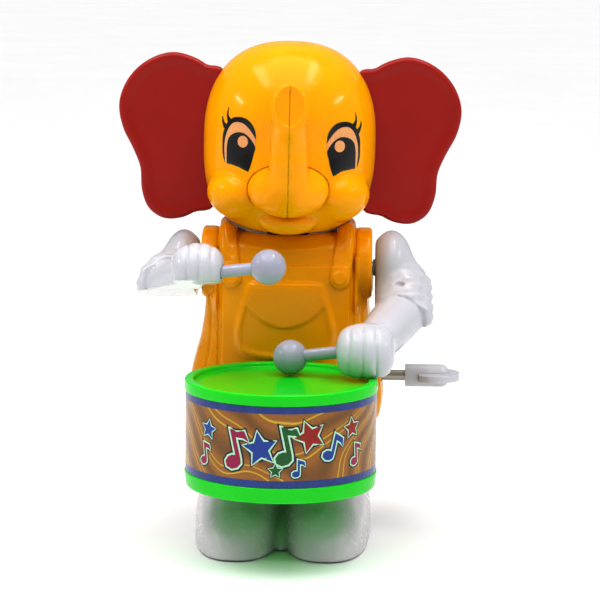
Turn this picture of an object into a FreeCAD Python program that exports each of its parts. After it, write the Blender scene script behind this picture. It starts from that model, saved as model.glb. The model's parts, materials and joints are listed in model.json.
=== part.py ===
"""Clockwork elephant that beats a drum: a moulded figure round a spring motor.

Millimetres, +Z up. The origin is on the floor under the neck, the toy faces -Y, and +X is the
side with the winding key. Every size that drives the model is in the spreadsheet.
"""

import FreeCAD, Part
import math
import os
import Sketcher
from FreeCAD import Placement, Rotation, Vector

DOC = FreeCAD.newDocument("drumming_elephant")
NODES = []

SIZES = {
    # moulded shells
    "wall": (1.6, "wall of every moulded shell"),
    "fit_gap": (0.05, "radial running gap of a shaft in its hole"),
    "body_half_width": (33.8, "widest half width of the body, at the hips"),
    "body_half_depth": (19.8, "half depth of the body at the hips"),
    "body_bottom": (34.0, "underside of the body"),
    "body_top": (102.6, "top of the body, under the neck"),
    "boss_radius": (12.5, "round shoulder boss"),
    "boss_face": (29.5, "outer face of the shoulder boss from the middle plane"),
    "boss_height": (92.0, "centre of the shoulder boss above the floor"),
    "head_radius": (29.8, "widest radius of the head"),
    "head_bottom": (103.6, "underside of the head"),
    "head_top": (169.3, "crown of the head"),
    "ear_thickness": (4.4, "thickness of an ear plate"),
    "trunk_half_width": (6.15, "half width of the trunk"),
    "muzzle_half_width": (13.6, "half width of the muzzle"),
    "shoe_half_width": (14.8, "half width of one shoe"),
    "shoe_half_length": (40.0, "half length of one shoe"),
    "base_thickness": (1.6, "cover plate under the shoes"),
    # drum
    "drum_radius": (32.0, "outer radius of the drum's two caps"),
    "drum_core_radius": (31.3, "outer radius of the drum's cylinder wall"),
    "drum_label_radius": (31.6, "outer radius of the printed label"),
    "drum_rim_radius": (29.0, "inner radius of the top rim"),
    "drum_bottom": (25.6, "underside of the bottom cap"),
    "label_bottom": (30.9, "lower edge of the label"),
    "label_top": (57.3, "upper edge of the label"),
    "drum_skin": (59.5, "top of the drum head"),
    "drum_top": (61.1, "top of the rim"),
    # arms
    "arm_axis_height": (91.0, "height of the axis that both arms swing about"),
    "arm_shaft_radius": (2.0, "steel arm shaft"),
    "arm_stub_radius": (2.8, "collar of the arm next to the shoulder boss"),
    "arm_bush_radius": (4.2, "outer radius of the arm bush"),
    "lever_face": (18.3, "inner face of the slotted lever from the middle plane"),
    "lever_thickness": (2.0, "slotted lever"),
    "stick_radius": (2.1, "drumstick"),
    "ball_radius": (5.85, "ball on the drumstick"),
    "crank_radius": (7.31, "crank pin from the crank shaft's axis"),
    "crank_pin_radius": (1.0, "crank pin"),
    "crank_disc_radius": (9.2, "crank disc"),
    "crank_disc_face": (13.2, "inner face of the crank disc from the middle plane"),
    "crank_pin_end": (18.0, "free end of the crank pin from the middle plane"),
    # motor
    "plate_face": (11.0, "inner face of a motor plate from the middle plane"),
    "plate_thickness": (1.2, "motor plate"),
    "pillar_radius": (1.6, "motor pillar"),
    "gear_module": (0.6, "module of all the motor's gears"),
    "main_shaft_radius": (1.5, "key arbor and crank shaft"),
    "small_shaft_radius": (0.8, "second shaft, governor shaft and pallet arbor"),
    "key_stem_radius": (1.85, "steel stem of the key"),
    "key_knob_radius": (4.0, "round middle of the key's handle"),
    "neck_shaft_radius": (2.0, "neck shaft"),
    "neck_bush_radius": (4.5, "neck bush"),
    "neck_hub_radius": (6.0, "hub that carries the head"),
}


def size(alias):
    return SIZES[alias][0]


ARM_SWING = 34.0
LEVER_TILT = ARM_SWING / 2
CRANK_AXIS = (0.0, 66.0)
KEY_AXIS = (3.0, 52.4)
PALLET_AXIS = (9.5, 77.5)
GOVERNOR_DIRECTION = math.radians(23.3)
TEETH = {
    "great": 36,
    "second_pinion": 10,
    "second": 24,
    "crank_pinion": 12,
    "drive": 24,
    "governor_pinion": 8,
}

BODY_SECTIONS = (
    # height, half width and half depth as shares of the hips, forward shift of the centre
    (34.0, 0.80, 0.78, 0.4),
    (37.5, 0.93, 0.93, 0.4),
    (45.0, 1.00, 1.00, 0.4),
    (52.0, 0.99, 1.00, 0.4),
    (60.0, 0.94, 1.00, 0.4),
    (68.0, 0.88, 1.00, 0.4),
    (78.0, 0.85, 1.00, 0.4),
    (90.0, 0.80, 0.99, 0.4),
    (98.0, 0.72, 0.90, 0.4),
    (102.6, 0.58, 0.74, 0.4),
)
HEAD_SECTIONS = (
    # height, share of the widest radius
    (103.6, 0.44),
    (107.9, 0.72),
    (113.4, 0.87),
    (121.0, 0.965),
    (132.0, 1.00),
    (143.0, 0.98),
    (152.0, 0.89),
    (160.2, 0.745),
    (165.7, 0.54),
    (168.4, 0.33),
    (169.3, 0.10),
)
SHOE_SECTIONS = (
    # height, share of the half width, share of the half length, middle of the section in y
    (0.0, 0.95, 0.97, -20.0),
    (3.0, 1.00, 1.00, -20.0),
    (11.0, 0.98, 0.94, -19.0),
    (18.0, 0.91, 0.78, -14.5),
    (24.0, 0.84, 0.56, -6.5),
    (29.0, 0.80, 0.42, -1.0),
    (34.0, 0.80, 0.36, 1.0),
)
TRUNK_SECTIONS = (
    # y, z, share of the trunk's half width, stretch along the rise, lean of the path in degrees
    (-29.5, 118.0, 1.45, 1.0, 0.0),
    (-33.0, 129.0, 1.10, 1.0, 12.0),
    (-36.0, 138.0, 1.00, 1.0, 28.0),
    (-41.0, 145.5, 1.00, 1.10, 60.0),
    (-48.4, 148.9, 1.00, 1.35, 84.0),
)
EAR_OUTLINE = (
    (26.0, 157.0),
    (33.0, 164.0),
    (40.4, 165.2),
    (49.0, 162.6),
    (56.0, 156.5),
    (59.4, 148.0),
    (58.3, 139.0),
    (54.6, 130.0),
    (51.8, 122.5),
    (51.0, 115.0),
    (46.5, 109.3),
    (40.4, 107.7),
    (32.0, 109.5),
    (26.0, 114.0),
)
ARM_SECTIONS = (
    # x, y, z, radius, and the direction of the arm there
    (36.0, 1.0, 93.5, 8.2, (0.35, -0.15, -1.0)),
    (40.0, -2.5, 84.5, 10.2, (0.25, -0.45, -0.9)),
    (41.2, -12.0, 77.0, 9.4, (0.0, -1.0, -0.5)),
    (38.0, -25.0, 73.5, 8.0, (-0.35, -1.0, -0.2)),
)
HAND_SECTIONS = {
    "right": (
        (32.2, -34.5, 70.2, 6.6, (-0.45, -1.0, -0.15)),
        (30.2, -38.5, 68.6, 7.4, (-0.45, -1.0, -0.1)),
        (28.0, -43.5, 67.9, 7.7, (-0.4, -1.0, -0.05)),
        (26.2, -48.3, 67.6, 6.6, (-0.35, -1.0, 0.0)),
        (25.2, -51.2, 67.6, 3.2, (-0.35, -1.0, 0.0)),
    ),
    "left": (
        (31.8, -36.5, 71.3, 6.8, (-0.45, -1.0, -0.15)),
        (29.8, -41.0, 70.5, 8.3, (-0.45, -1.0, -0.1)),
        (27.6, -46.5, 70.0, 8.6, (-0.4, -1.0, -0.05)),
        (25.8, -51.5, 69.8, 7.3, (-0.35, -1.0, 0.0)),
        (24.8, -54.6, 69.8, 3.4, (-0.35, -1.0, 0.0)),
    ),
}
GRIP_CENTRES = {"right": Vector(27.6, -43.8, 66.2), "left": Vector(27.6, -46.5, 70.0)}
BALL_CENTRES = {"right": Vector(4.4, -50.47, 65.83), "left": Vector(2.5, -39.0, 65.67)}
SHELL_SCREWS = ((-24.0, 43.0, 10.0), (24.0, 43.0, 10.0), (-12.0, 96.0, 13.5), (12.0, 96.0, 13.5))
DRUM_DEPTH = -52.2
DRUM_SCREWS = ((-3.0, 45.0), (3.0, 45.0))
HEAD_SCREWS = ((-17.0, 120.0, 18.0), (17.0, 120.0, 18.0), (0.0, 157.0, 20.0))
PILLARS = ((-11.5, 46.5), (13.5, 42.5), (-10.5, 76.0), (13.5, 62.0))
PLATE_OUTLINE = (
    (-14.0, 43.0),
    (-11.0, 40.0),
    (14.0, 39.5),
    (16.0, 42.0),
    (16.0, 64.0),
    (13.0, 72.0),
    (13.0, 80.0),
    (10.5, 82.0),
    (-10.0, 82.0),
    (-13.0, 79.0),
    (-14.0, 70.0),
)
PALLET_OUTLINE = (
    (-1.8, 1.8),
    (1.8, 1.8),
    (6.2, -1.6),
    (6.2, -5.0),
    (5.2, -5.0),
    (4.8, -2.4),
    (1.5, -1.6),
    (-1.5, -1.6),
    (-5.6, -2.4),
    (-6.0, -5.0),
    (-7.0, -5.0),
    (-7.0, -1.6),
)

ALONG_X = Rotation(Vector(0, 0, 1), Vector(1, 0, 0))
ALONG_Y = Rotation(Vector(0, 0, 1), Vector(0, 1, 0))
UPRIGHT = Rotation()
X_AXIS_UP = Rotation(Vector(1, 0, 0), Vector(0, 0, 1))


# ---------------------------------------------------------------- document helpers


def fill_sheet():
    sheet = DOC.addObject("Spreadsheet::Sheet", "Sheet")
    for row, (alias, (value, note)) in enumerate(SIZES.items(), start=1):
        sheet.set(f"A{row}", alias)
        sheet.set(f"B{row}", str(value))
        sheet.setAlias(f"B{row}", alias)
        sheet.set(f"C{row}", note)
    DOC.recompute()


def node(obj, label):
    """Give a finished piece the name that its file takes."""
    obj.Label = label
    NODES.append(obj)
    return obj


def primitive(kind, place, **bindings):
    obj = DOC.addObject("Part::" + kind, kind.lower())
    for name, expression in bindings.items():
        obj.setExpression(name, str(expression))
    obj.Placement = place
    return obj


def cylinder(radius, length, start, turn=UPRIGHT):
    return primitive("Cylinder", Placement(start, turn), Radius=radius, Height=length)


def cylinder_x(radius, x_start, x_end, axis):
    """A cylinder along X between two planes, on an axis given as (y, z)."""
    return cylinder(radius, x_end - x_start, Vector(x_start, *axis), ALONG_X)


def box(low, high):
    sides = dict(zip(("Length", "Width", "Height"), (b - a for a, b in zip(low, high))))
    return primitive("Box", Placement(Vector(*low), UPRIGHT), **sides)


def ellipsoid(centre, radius_x, radius_y, radius_z):
    return primitive(
        "Ellipsoid",
        Placement(centre, UPRIGHT),
        Radius1=radius_z,
        Radius2=radius_x,
        Radius3=radius_y,
    )


def fuse(*pieces):
    obj = DOC.addObject("Part::MultiFuse", "fuse")
    obj.Shapes = list(pieces)
    return obj


def common(*pieces):
    obj = DOC.addObject("Part::MultiCommon", "common")
    obj.Shapes = list(pieces)
    return obj


def cut(base, *tools):
    obj = DOC.addObject("Part::Cut", "cut")
    obj.Base = base
    obj.Tool = tools[0] if len(tools) == 1 else fuse(*tools)
    return obj


def group(*pieces):
    obj = DOC.addObject("Part::Compound", "group")
    obj.Links = list(pieces)
    return obj


def feature(shape, place=None):
    obj = DOC.addObject("Part::Feature", "shape")
    obj.Shape = shape
    if place is not None:
        obj.Placement = place
    return obj


def loft(sections):
    obj = DOC.addObject("Part::Loft", "loft")
    obj.Sections = sections
    obj.Solid = True
    return obj


def oval(place, half_width, half_depth):
    """An ellipse whose long side runs along the placement's own X."""
    return primitive("Ellipse", place, MajorRadius=half_width, MinorRadius=half_depth)


def ring(place, radius):
    return primitive("Circle", place, Radius=radius)


def sketch_on(body, role):
    plane = next(item for item in body.Origin.OriginFeatures if item.Role == role)
    sketch = body.newObject("Sketcher::SketchObject", "sketch")
    sketch.AttachmentSupport = (plane, [""])
    sketch.MapMode = "FlatFace"
    return sketch


def fix_point(sketch, index, position, across, up):
    """Hold one point of a sketch at two expressions measured from the origin."""
    for kind, expression, axis in (("DistanceX", across, -2), ("DistanceY", up, -1)):
        value = sketch.evalExpression(str(expression))
        if abs(value) < 1e-9:
            sketch.addConstraint(Sketcher.Constraint("PointOnObject", index, position, axis))
            continue
        made = sketch.addConstraint(Sketcher.Constraint(kind, -1, 1, index, position, value))
        sketch.setExpression(f"Constraints[{made}]", str(expression))


def draw_outline(sketch, points):
    values = [Vector(*(sketch.evalExpression(str(part)) for part in point), 0) for point in points]
    first = sketch.GeometryCount
    count = len(points)
    for number in range(count):
        sketch.addGeometry(Part.LineSegment(values[number], values[(number + 1) % count]))
    for number in range(count):
        following = first + (number + 1) % count
        sketch.addConstraint(Sketcher.Constraint("Coincident", first + number, 2, following, 1))
    for number, (across, up) in enumerate(points):
        fix_point(sketch, first + number, 1, across, up)


def draw_circle(sketch, centre, radius):
    value = sketch.evalExpression(str(radius))
    index = sketch.addGeometry(Part.Circle(Vector(*centre, 0), Vector(0, 0, 1), value))
    fix_point(sketch, index, 3, *centre)
    made = sketch.addConstraint(Sketcher.Constraint("Radius", index, value))
    sketch.setExpression(f"Constraints[{made}]", str(radius))


def turned(profile, place):
    """A solid turned about its own X axis from an outline of (distance along X, radius)."""
    body = DOC.addObject("PartDesign::Body", "turned")
    sketch = sketch_on(body, "XZ_Plane")
    draw_outline(sketch, profile)
    solid = body.newObject("PartDesign::Revolution", "revolution")
    solid.Profile = sketch
    solid.ReferenceAxis = (sketch, ["H_Axis"])
    solid.Angle = 360
    sketch.Visibility = False
    body.Placement = place
    return body


def plate(outline, thickness, place, holes=()):
    """A flat piece drawn in its own YZ plane, thick along +X, with round holes."""
    body = DOC.addObject("PartDesign::Body", "plate")
    sketch = sketch_on(body, "YZ_Plane")
    draw_outline(sketch, outline)
    for centre, radius in holes:
        draw_circle(sketch, centre, radius)
    pad = body.newObject("PartDesign::Pad", "pad")
    pad.Profile = sketch
    pad.setExpression("Length", str(thickness))
    body.Placement = place
    return body


def bush(bore, radius, length, place):
    """A plain bearing sleeve along its own X."""
    return turned((("0", bore), (length, bore), (length, radius), ("0", radius)), place)


def screw(point, direction, length=14.0, shank=1.2, head=2.3, head_height=1.5):
    """A round-headed screw whose head sits at the point, and whose shank runs the other way."""
    turn = Rotation(Vector(0, 0, 1), direction)
    return fuse(
        cylinder(shank, length, point - direction * length, turn),
        cylinder(head, head_height, point, turn),
    )


def mirrored(side, x_low, x_high):
    """The two limits of a span of X on one side of the middle plane, lowest first."""
    return sorted((side * x_low, side * x_high))


# ---------------------------------------------------------------- body


def body_solid(inset):
    """The figure's body, or with an inset the space inside it."""
    sections = []
    last = len(BODY_SECTIONS) - 1
    for number, (height, width, depth, shift) in enumerate(BODY_SECTIONS):
        lift = {0: size("wall"), last: -size("wall")}.get(number, 0) if inset else 0
        share = " - Sheet.wall" if inset else ""
        sections.append(
            oval(
                Placement(Vector(0, shift, height + lift), UPRIGHT),
                f"Sheet.body_half_width * {width}{share}",
                f"Sheet.body_half_depth * {depth}{share}",
            )
        )
    return loft(sections)


def motor_ribs():
    """Blocks inside the shells that grip the motor plates' edges."""
    blocks = []
    for side in (-1, 1):
        low, high = mirrored(side, 9.4, 13.8)
        blocks.append(box((low, 14.6, 46.0), (high, 19.0, 52.0)))
        blocks.append(box((low, -18.0, 50.0), (high, -12.8, 56.0)))
    return blocks


def leg_screw_points():
    return [(side * 17.0, depth) for side in (-1, 1) for depth in (-7.0, 8.0)]


def build_body(plates):
    outer = body_solid(inset=False)
    cavity = body_solid(inset=True)
    bosses = []
    for side in (-1, 1):
        low, high = mirrored(side, 22.0, size("boss_face"))
        bosses.append(cylinder_x("Sheet.boss_radius", low, high, (0, size("boss_height"))))
    skin = cut(fuse(outer, *bosses), cavity)
    posts = [cylinder(3.6, 50.0, Vector(x, -25.0, z), ALONG_Y) for x, z, _ in SHELL_SCREWS]
    for x, y in leg_screw_points():
        posts.append(cylinder(3.0, 9.0, Vector(x, y, size("body_bottom"))))
    inside = common(outer, fuse(*posts, *motor_ribs()))
    holes = []
    gap = size("fit_gap")
    for x, z, head in SHELL_SCREWS:
        holes.append(cylinder(1.2 + gap, 16.0, Vector(x, head - 15.0, z), ALONG_Y))
        holes.append(cylinder(2.6, 12.0, Vector(x, head, z), ALONG_Y))
    for x, y in leg_screw_points():
        holes.append(cylinder(1.2 + gap, 9.5, Vector(x, y, size("body_bottom") - 1.0)))
    for screw_x, screw_z in DRUM_SCREWS:
        holes.append(cylinder(1.2 + gap, 6.0, Vector(screw_x, -21.0, screw_z), ALONG_Y))
        holes.append(cylinder(2.6, 3.0, Vector(screw_x, bracket_screw_seat(), screw_z), ALONG_Y))
    for side in (-1, 1):
        low, high = mirrored(side, 20.0, 30.0)
        holes.append(cylinder_x("Sheet.arm_bush_radius", low, high, (0, size("arm_axis_height"))))
    holes.append(cylinder("Sheet.neck_bush_radius", 8.0, Vector(0, 0, 96.0)))
    holes.append(cylinder_x("Sheet.key_stem_radius + 0.5", 28.0, 36.0, KEY_AXIS))
    shell = cut(fuse(skin, inside), *holes, *plates)
    front = box((-40, -40, 30), (40, 0, 110))
    back = box((-40, 0, 30), (40, 40, 110))
    node(common(shell, front), "body_front_shell")
    node(common(shell, back), "body_back_shell")
    screws = [screw(Vector(x, head, z), Vector(0, 1, 0)) for x, z, head in SHELL_SCREWS]
    node(group(*screws), "shell_screws")
    for name, side in (("right", -1), ("left", 1)):
        low, high = mirrored(side, 21.0, size("boss_face"))
        place = Placement(Vector(low, 0, size("arm_axis_height")), UPRIGHT)
        bore = "Sheet.arm_shaft_radius + Sheet.fit_gap"
        node(bush(bore, "Sheet.arm_bush_radius", high - low, place), name + "_arm_bush")
    build_neck_bush()
    return outer


def build_neck_bush():
    bore = "Sheet.neck_shaft_radius + Sheet.fit_gap"
    flange = "Sheet.neck_bush_radius + 2.5"
    seat = size("body_top") - 96.0
    profile = (
        ("0", bore),
        (seat + 0.6, bore),
        (seat + 0.6, flange),
        (seat, flange),
        (seat, "Sheet.neck_bush_radius"),
        ("0", "Sheet.neck_bush_radius"),
    )
    node(turned(profile, Placement(Vector(0, 0, 96.0), X_AXIS_UP)), "neck_bush")


# ---------------------------------------------------------------- legs, shoes and base


def shoe(side, inset):
    sections = []
    share = " - Sheet.wall" if inset else ""
    last = len(SHOE_SECTIONS) - 1
    for number, (height, width, length, middle) in enumerate(SHOE_SECTIONS):
        drop = {0: -1.0, last: -3.0}.get(number, 0) if inset else 0
        turn = Rotation(Vector(0, 0, 1), 90)
        sections.append(
            oval(
                Placement(Vector(side * 15.0, middle, height + drop), turn),
                f"Sheet.shoe_half_length * {length}{share}",
                f"Sheet.shoe_half_width * {width}{share}",
            )
        )
    return loft(sections)


def build_legs():
    solids = fuse(shoe(-1, False), shoe(1, False), box((-5, -34, 0), (5, 14, 12)))
    hollow = fuse(shoe(-1, True), shoe(1, True))
    posts = []
    pilots = []
    screws = []
    radius = 1.2 + size("fit_gap")
    base_points = [(side * 15.0, depth) for side in (-1, 1) for depth in (-46.0, 10.0)]
    for x, y in base_points:
        posts.append(cylinder(3.0, 34.0, Vector(x, y, 0)))
        pilots.append(cylinder(radius, 10.0, Vector(x, y, -1.0)))
        screws.append(screw(Vector(x, y, 0.4), Vector(0, 0, -1), 8.0, 1.2, 2.3, 0.4))
    bearing = common(fuse(*posts), fuse(shoe(-1, False), shoe(1, False)))
    start = size("body_bottom") - 3.0
    foot = []
    for x, y in leg_screw_points():
        foot.append(cylinder(radius, 8.0, Vector(x, y, 28.0)))
        foot.append(cylinder(2.7, 5.0, Vector(x, y, start - 5.0)))
    drum_room = cylinder("Sheet.drum_radius + 0.3", 12.0, Vector(0, DRUM_DEPTH, size("drum_bottom") - 0.2))
    slab = base_plate_solid()
    legs = cut(fuse(cut(solids, hollow), bearing), slab, drum_room, *pilots, *foot)
    node(common(legs, box((-40, -70, -1), (0, 30, 40))), "right_leg_and_shoe")
    node(common(legs, box((0, -70, -1), (40, 30, 40))), "left_leg_and_shoe")
    heads = [cylinder(2.35, 1.0, Vector(x, y, -0.6)) for x, y in base_points]
    holes = [cylinder(radius, 3.0, Vector(x, y, -0.5)) for x, y in base_points]
    node(cut(base_plate_solid(), *heads, *holes), "base_plate")
    node(group(*screws), "base_screws")
    down = Vector(0, 0, -1)
    node(group(*(screw(Vector(x, y, start), down, 11.0) for x, y in leg_screw_points())), "leg_screws")


def base_plate_solid():
    """A plate with two rounded ends, let into the underside of the shoes."""
    halves = []
    for side in (-1, 1):
        halves.append(
            loft(
                [
                    oval(
                        Placement(Vector(side * 14.0, -20.0, level), Rotation(Vector(0, 0, 1), 90)),
                        "Sheet.shoe_half_length - 4.5",
                        "Sheet.shoe_half_width - 2.6",
                    )
                    for level in (0.0, size("base_thickness"))
                ]
            )
        )
    return fuse(*halves, box((-8, -34, 0), (8, 14, size("base_thickness"))))


# ---------------------------------------------------------------- drum


def bracket_screw_seat():
    """How far forward the heads of the drum's screws sit, on the inside of the front shell."""
    return size("wall") - size("body_half_depth") + 0.45


def build_drum(body_outer):
    axis = Vector(0, DRUM_DEPTH, 0)
    upright = Placement(axis, X_AXIS_UP)
    slot = box((-6.0, -28.0, 40.0), (6.0, -17.0, 50.0))
    top = (
        ("Sheet.label_top", 0),
        ("Sheet.label_top", "Sheet.drum_radius"),
        ("Sheet.drum_top", "Sheet.drum_radius"),
        ("Sheet.drum_top", "Sheet.drum_rim_radius"),
        ("Sheet.drum_skin", "Sheet.drum_rim_radius"),
        ("Sheet.drum_skin", 0),
    )
    node(turned(top, upright), "drum_top_cap")
    bottom = (
        ("Sheet.drum_bottom", 0),
        ("Sheet.drum_bottom", "Sheet.drum_radius"),
        ("Sheet.label_bottom", "Sheet.drum_radius"),
        ("Sheet.label_bottom", "Sheet.drum_rim_radius"),
        ("Sheet.drum_bottom + Sheet.wall", "Sheet.drum_rim_radius"),
        ("Sheet.drum_bottom + Sheet.wall", 0),
    )
    node(turned(bottom, upright), "drum_bottom_cap")
    core = drum_sleeve("Sheet.drum_core_radius - Sheet.wall", "Sheet.drum_core_radius", upright)
    node(cut(core, slot), "drum_cylinder")
    label = drum_sleeve("Sheet.drum_core_radius", "Sheet.drum_label_radius", upright)
    node(cut(label, slot), "drum_label")
    holes = [cylinder(1.25, 7.5, Vector(x, -25.0, z), ALONG_Y) for x, z in DRUM_SCREWS]
    node(cut(box((-6.0, -27.0, 40.0), (6.0, -17.0, 50.0)), body_outer, *holes), "drum_bracket")
    screws = [screw(Vector(x, bracket_screw_seat(), z), Vector(0, 1, 0), 6.5) for x, z in DRUM_SCREWS]
    node(group(*screws), "drum_screws")


def drum_sleeve(inner, outer, place):
    low = "Sheet.label_bottom"
    high = "Sheet.label_top"
    return turned(((low, inner), (high, inner), (high, outer), (low, outer)), place)


# ---------------------------------------------------------------- head


def head_solid():
    rings = []
    for height, width in HEAD_SECTIONS:
        place = Placement(Vector(0, 0, height), UPRIGHT)
        rings.append(ring(place, f"Sheet.head_radius * {width}"))
    return loft(rings)


def head_cavity():
    """The space inside the head stops short of the crown, where the wall thickens."""
    rings = []
    for height, width in HEAD_SECTIONS[:-2]:
        lift = size("wall") if height == size("head_bottom") else 0
        place = Placement(Vector(0, 0, height + lift), UPRIGHT)
        rings.append(ring(place, f"Sheet.head_radius * {width} - Sheet.wall"))
    return loft(rings)


def trunk_solid():
    ovals = []
    for y, z, width, stretch, lean in TRUNK_SECTIONS:
        across = f"Sheet.trunk_half_width * {width}"
        along = f"Sheet.trunk_half_width * {width * stretch}"
        turn = Rotation(Vector(1, 0, 0), lean) * Rotation(Vector(0, 0, 1), 90)
        ovals.append(oval(Placement(Vector(0, y, z), turn), along, across))
    muzzle = ellipsoid(Vector(0, -24.5, 121.5), "Sheet.muzzle_half_width", 11.5, 9.2)
    return fuse(loft(ovals), muzzle)


def ear_solid(side, head_outer):
    points = [Vector(side * x, 0, z) for x, z in EAR_OUTLINE]
    curve = Part.BSplineCurve()
    curve.interpolate(points, PeriodicFlag=True)
    outline = Part.Face(Part.Wire([curve.toShape()]))
    thickness = size("ear_thickness")
    outline.translate(Vector(0, -thickness / 2, 0))
    flat = feature(outline.extrude(Vector(0, thickness, 0)))
    return cut(flat, head_outer)


def build_head():
    outer = head_solid()
    cavity = head_cavity()
    posts = [cylinder(3.6, 64.0, Vector(x, -32.0, z), ALONG_Y) for x, z, _ in HEAD_SCREWS]
    inside = common(outer, fuse(*posts))
    gap = size("fit_gap")
    holes = [cylinder("Sheet.neck_hub_radius", 9.5, Vector(0, 0, 103.0))]
    for x, z, head in HEAD_SCREWS:
        holes.append(cylinder(1.2 + gap, 16.0, Vector(x, head - 15.0, z), ALONG_Y))
        holes.append(cylinder(2.6, 16.0, Vector(x, head, z), ALONG_Y))
    shell = cut(fuse(cut(outer, cavity), inside), *holes)
    node(common(shell, box((-40, -40, 100), (40, 0, 175))), "head_front_shell")
    node(common(shell, box((-40, 0, 100), (40, 40, 175))), "head_back_shell")
    screws = [screw(Vector(x, head, z), Vector(0, 1, 0)) for x, z, head in HEAD_SCREWS]
    node(group(*screws), "head_screws")
    for name, side in (("right", -1), ("left", 1)):
        node(ear_solid(side, outer), name + "_ear")
        trunk = cut(trunk_solid(), outer)
        low, high = mirrored(side, 0, 20)
        node(common(trunk, box((low, -60, 105), (high, 0, 165))), f"{name}_trunk_half")
    build_neck()


def build_neck():
    shaft_end = 75.5
    node(cylinder("Sheet.neck_shaft_radius", 111.0 - shaft_end, Vector(0, 0, shaft_end)), "neck_shaft")
    hub = (
        ("0", "Sheet.neck_shaft_radius"),
        ("9.0", "Sheet.neck_shaft_radius"),
        ("9.0", "Sheet.neck_hub_radius"),
        ("0", "Sheet.neck_hub_radius"),
    )
    node(turned(hub, Placement(Vector(0, 0, size("head_bottom")), X_AXIS_UP)), "neck_hub")
    low, high = 76.0, 78.0
    hub_block = cylinder(3.0, high - low, Vector(0, 0, low))
    arm = box((0, -1.3, low), (6.0, 1.3, high))
    arm.Placement = Placement(Vector(0, 0, low), Rotation(Vector(0, 0, 1), 39.3)) * Placement(
        Vector(0, -1.3, 0), UPRIGHT
    )
    bridge = box((1.7, 3.8, low), (9.3, 5.2, high))
    tines = [cylinder(0.7, high - 70.7, Vector(x, 4.5, 70.7)) for x in (2.4, 8.6)]
    bore = cylinder("Sheet.neck_shaft_radius", 4.0, Vector(0, 0, low - 1.0))
    node(cut(fuse(hub_block, arm, bridge, *tines), bore), "head_turning_fork")


# ---------------------------------------------------------------- arms


def arm_sections(name, side):
    rings = []
    for x, y, z, radius, direction in ARM_SECTIONS + HAND_SECTIONS[name]:
        along = Vector(side * direction[0], direction[1], direction[2])
        turn = Rotation(Vector(0, 0, 1), along)
        rings.append(ring(Placement(Vector(side * x, y, z), turn), radius))
    return loft(rings)


def arm_underside():
    """The space under an arm, which is flat below from the elbow to the hand."""
    below = box((-60, -80, -50), (60, 40, 0))
    below.Placement = Placement(Vector(0, -5.2, 77.3), Rotation(Vector(1, 0, 0), 20)) * below.Placement
    return below


def build_arm(name, side, rest_turn):
    """An arm is drawn with its stick on the drum, then turned about its shaft to where it rests."""
    axis_height = size("arm_axis_height")
    fist = GRIP_CENTRES[name]
    fist = Vector(side * fist.x, fist.y, fist.z)
    ball = BALL_CENTRES[name]
    ball = Vector(side * ball.x, ball.y, ball.z)
    reach = ball - fist
    turn = Rotation(Vector(0, 0, 1), reach)
    rod = cylinder("Sheet.stick_radius", reach.Length, fist, turn)
    seam_behind = Rotation(Vector(0, 0, 1), 90)
    tip = primitive("Sphere", Placement(ball, seam_behind), Radius="Sheet.ball_radius")
    stick = fuse(rod, tip)
    shoulder = ellipsoid(Vector(side * 36.0, 0, axis_height), 6.0, 10.8, 11.6)
    low, high = mirrored(side, 29.8, 33.0)
    collar = cylinder_x("Sheet.arm_stub_radius", low, high, (0, axis_height))
    flank = box((min(0, side * 30.6), -21.5, 60), (max(0, side * 30.6), 20, 115))
    limb = fuse(cut(fuse(arm_sections(name, side), shoulder), flank, arm_underside()), collar)
    low, high = mirrored(side, size("lever_face"), 38.0)
    bore = cylinder_x("Sheet.arm_shaft_radius", low, high, (0, axis_height))
    grip = cylinder("Sheet.stick_radius", reach.Length, fist, turn)
    arm = cut(limb, bore, grip)
    pivot = Vector(0, 0, axis_height)
    swing = Placement(Vector(), Rotation(Vector(1, 0, 0), rest_turn), pivot)
    arm.Placement = swing
    stick.Placement = swing
    node(arm, name + "_arm")
    node(stick, name + "_drumstick")
    shaft = cylinder_x("Sheet.arm_shaft_radius", low, high, (0, axis_height))
    node(shaft, name + "_arm_shaft")


def build_lever(name, side, tilt):
    """A slotted lever that hangs from the arm shaft and takes the crank pin."""
    reach = 33.2
    half = 2.5
    slot_start = 16.2
    low = min(side * size("lever_face"), side * (size("lever_face") + size("lever_thickness")))
    high = low + size("lever_thickness")
    hub = cylinder_x(4.2, low, high, (0, 0))
    bar = box((low, -half, -reach), (high, half, 0))
    toe = cylinder_x(half, low, high, (0, -reach))
    bore = cylinder_x("Sheet.arm_shaft_radius", low - 1, high + 1, (0, 0))
    slot_half = size("crank_pin_radius") + 0.2
    slot = box((low - 1, -slot_half, -reach), (high + 1, slot_half, -slot_start))
    slot_ends = [cylinder_x(slot_half, low - 1, high + 1, (0, -z)) for z in (slot_start, reach)]
    lever = cut(fuse(hub, bar, toe), bore, slot, *slot_ends)
    turn = Rotation(Vector(1, 0, 0), tilt)
    lever.Placement = Placement(Vector(0, 0, size("arm_axis_height")), turn)
    node(lever, name + "_arm_lever")


# ---------------------------------------------------------------- motor


def meshed_centre(first, first_distance, second, second_distance, side):
    """The point at two given distances from two others, on one side of the line between them."""
    dy = second[0] - first[0]
    dz = second[1] - first[1]
    span = math.hypot(dy, dz)
    along = (first_distance**2 - second_distance**2 + span**2) / (2 * span)
    off = side * math.sqrt(first_distance**2 - along**2)
    y = first[0] + (along * dy - off * dz) / span
    z = first[1] + (along * dz + off * dy) / span
    return (y, z)


def centre_distance(first, second):
    return (TEETH[first] + TEETH[second]) * size("gear_module") / 2


def heading(start, end):
    return math.atan2(end[1] - start[1], end[0] - start[0])


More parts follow.
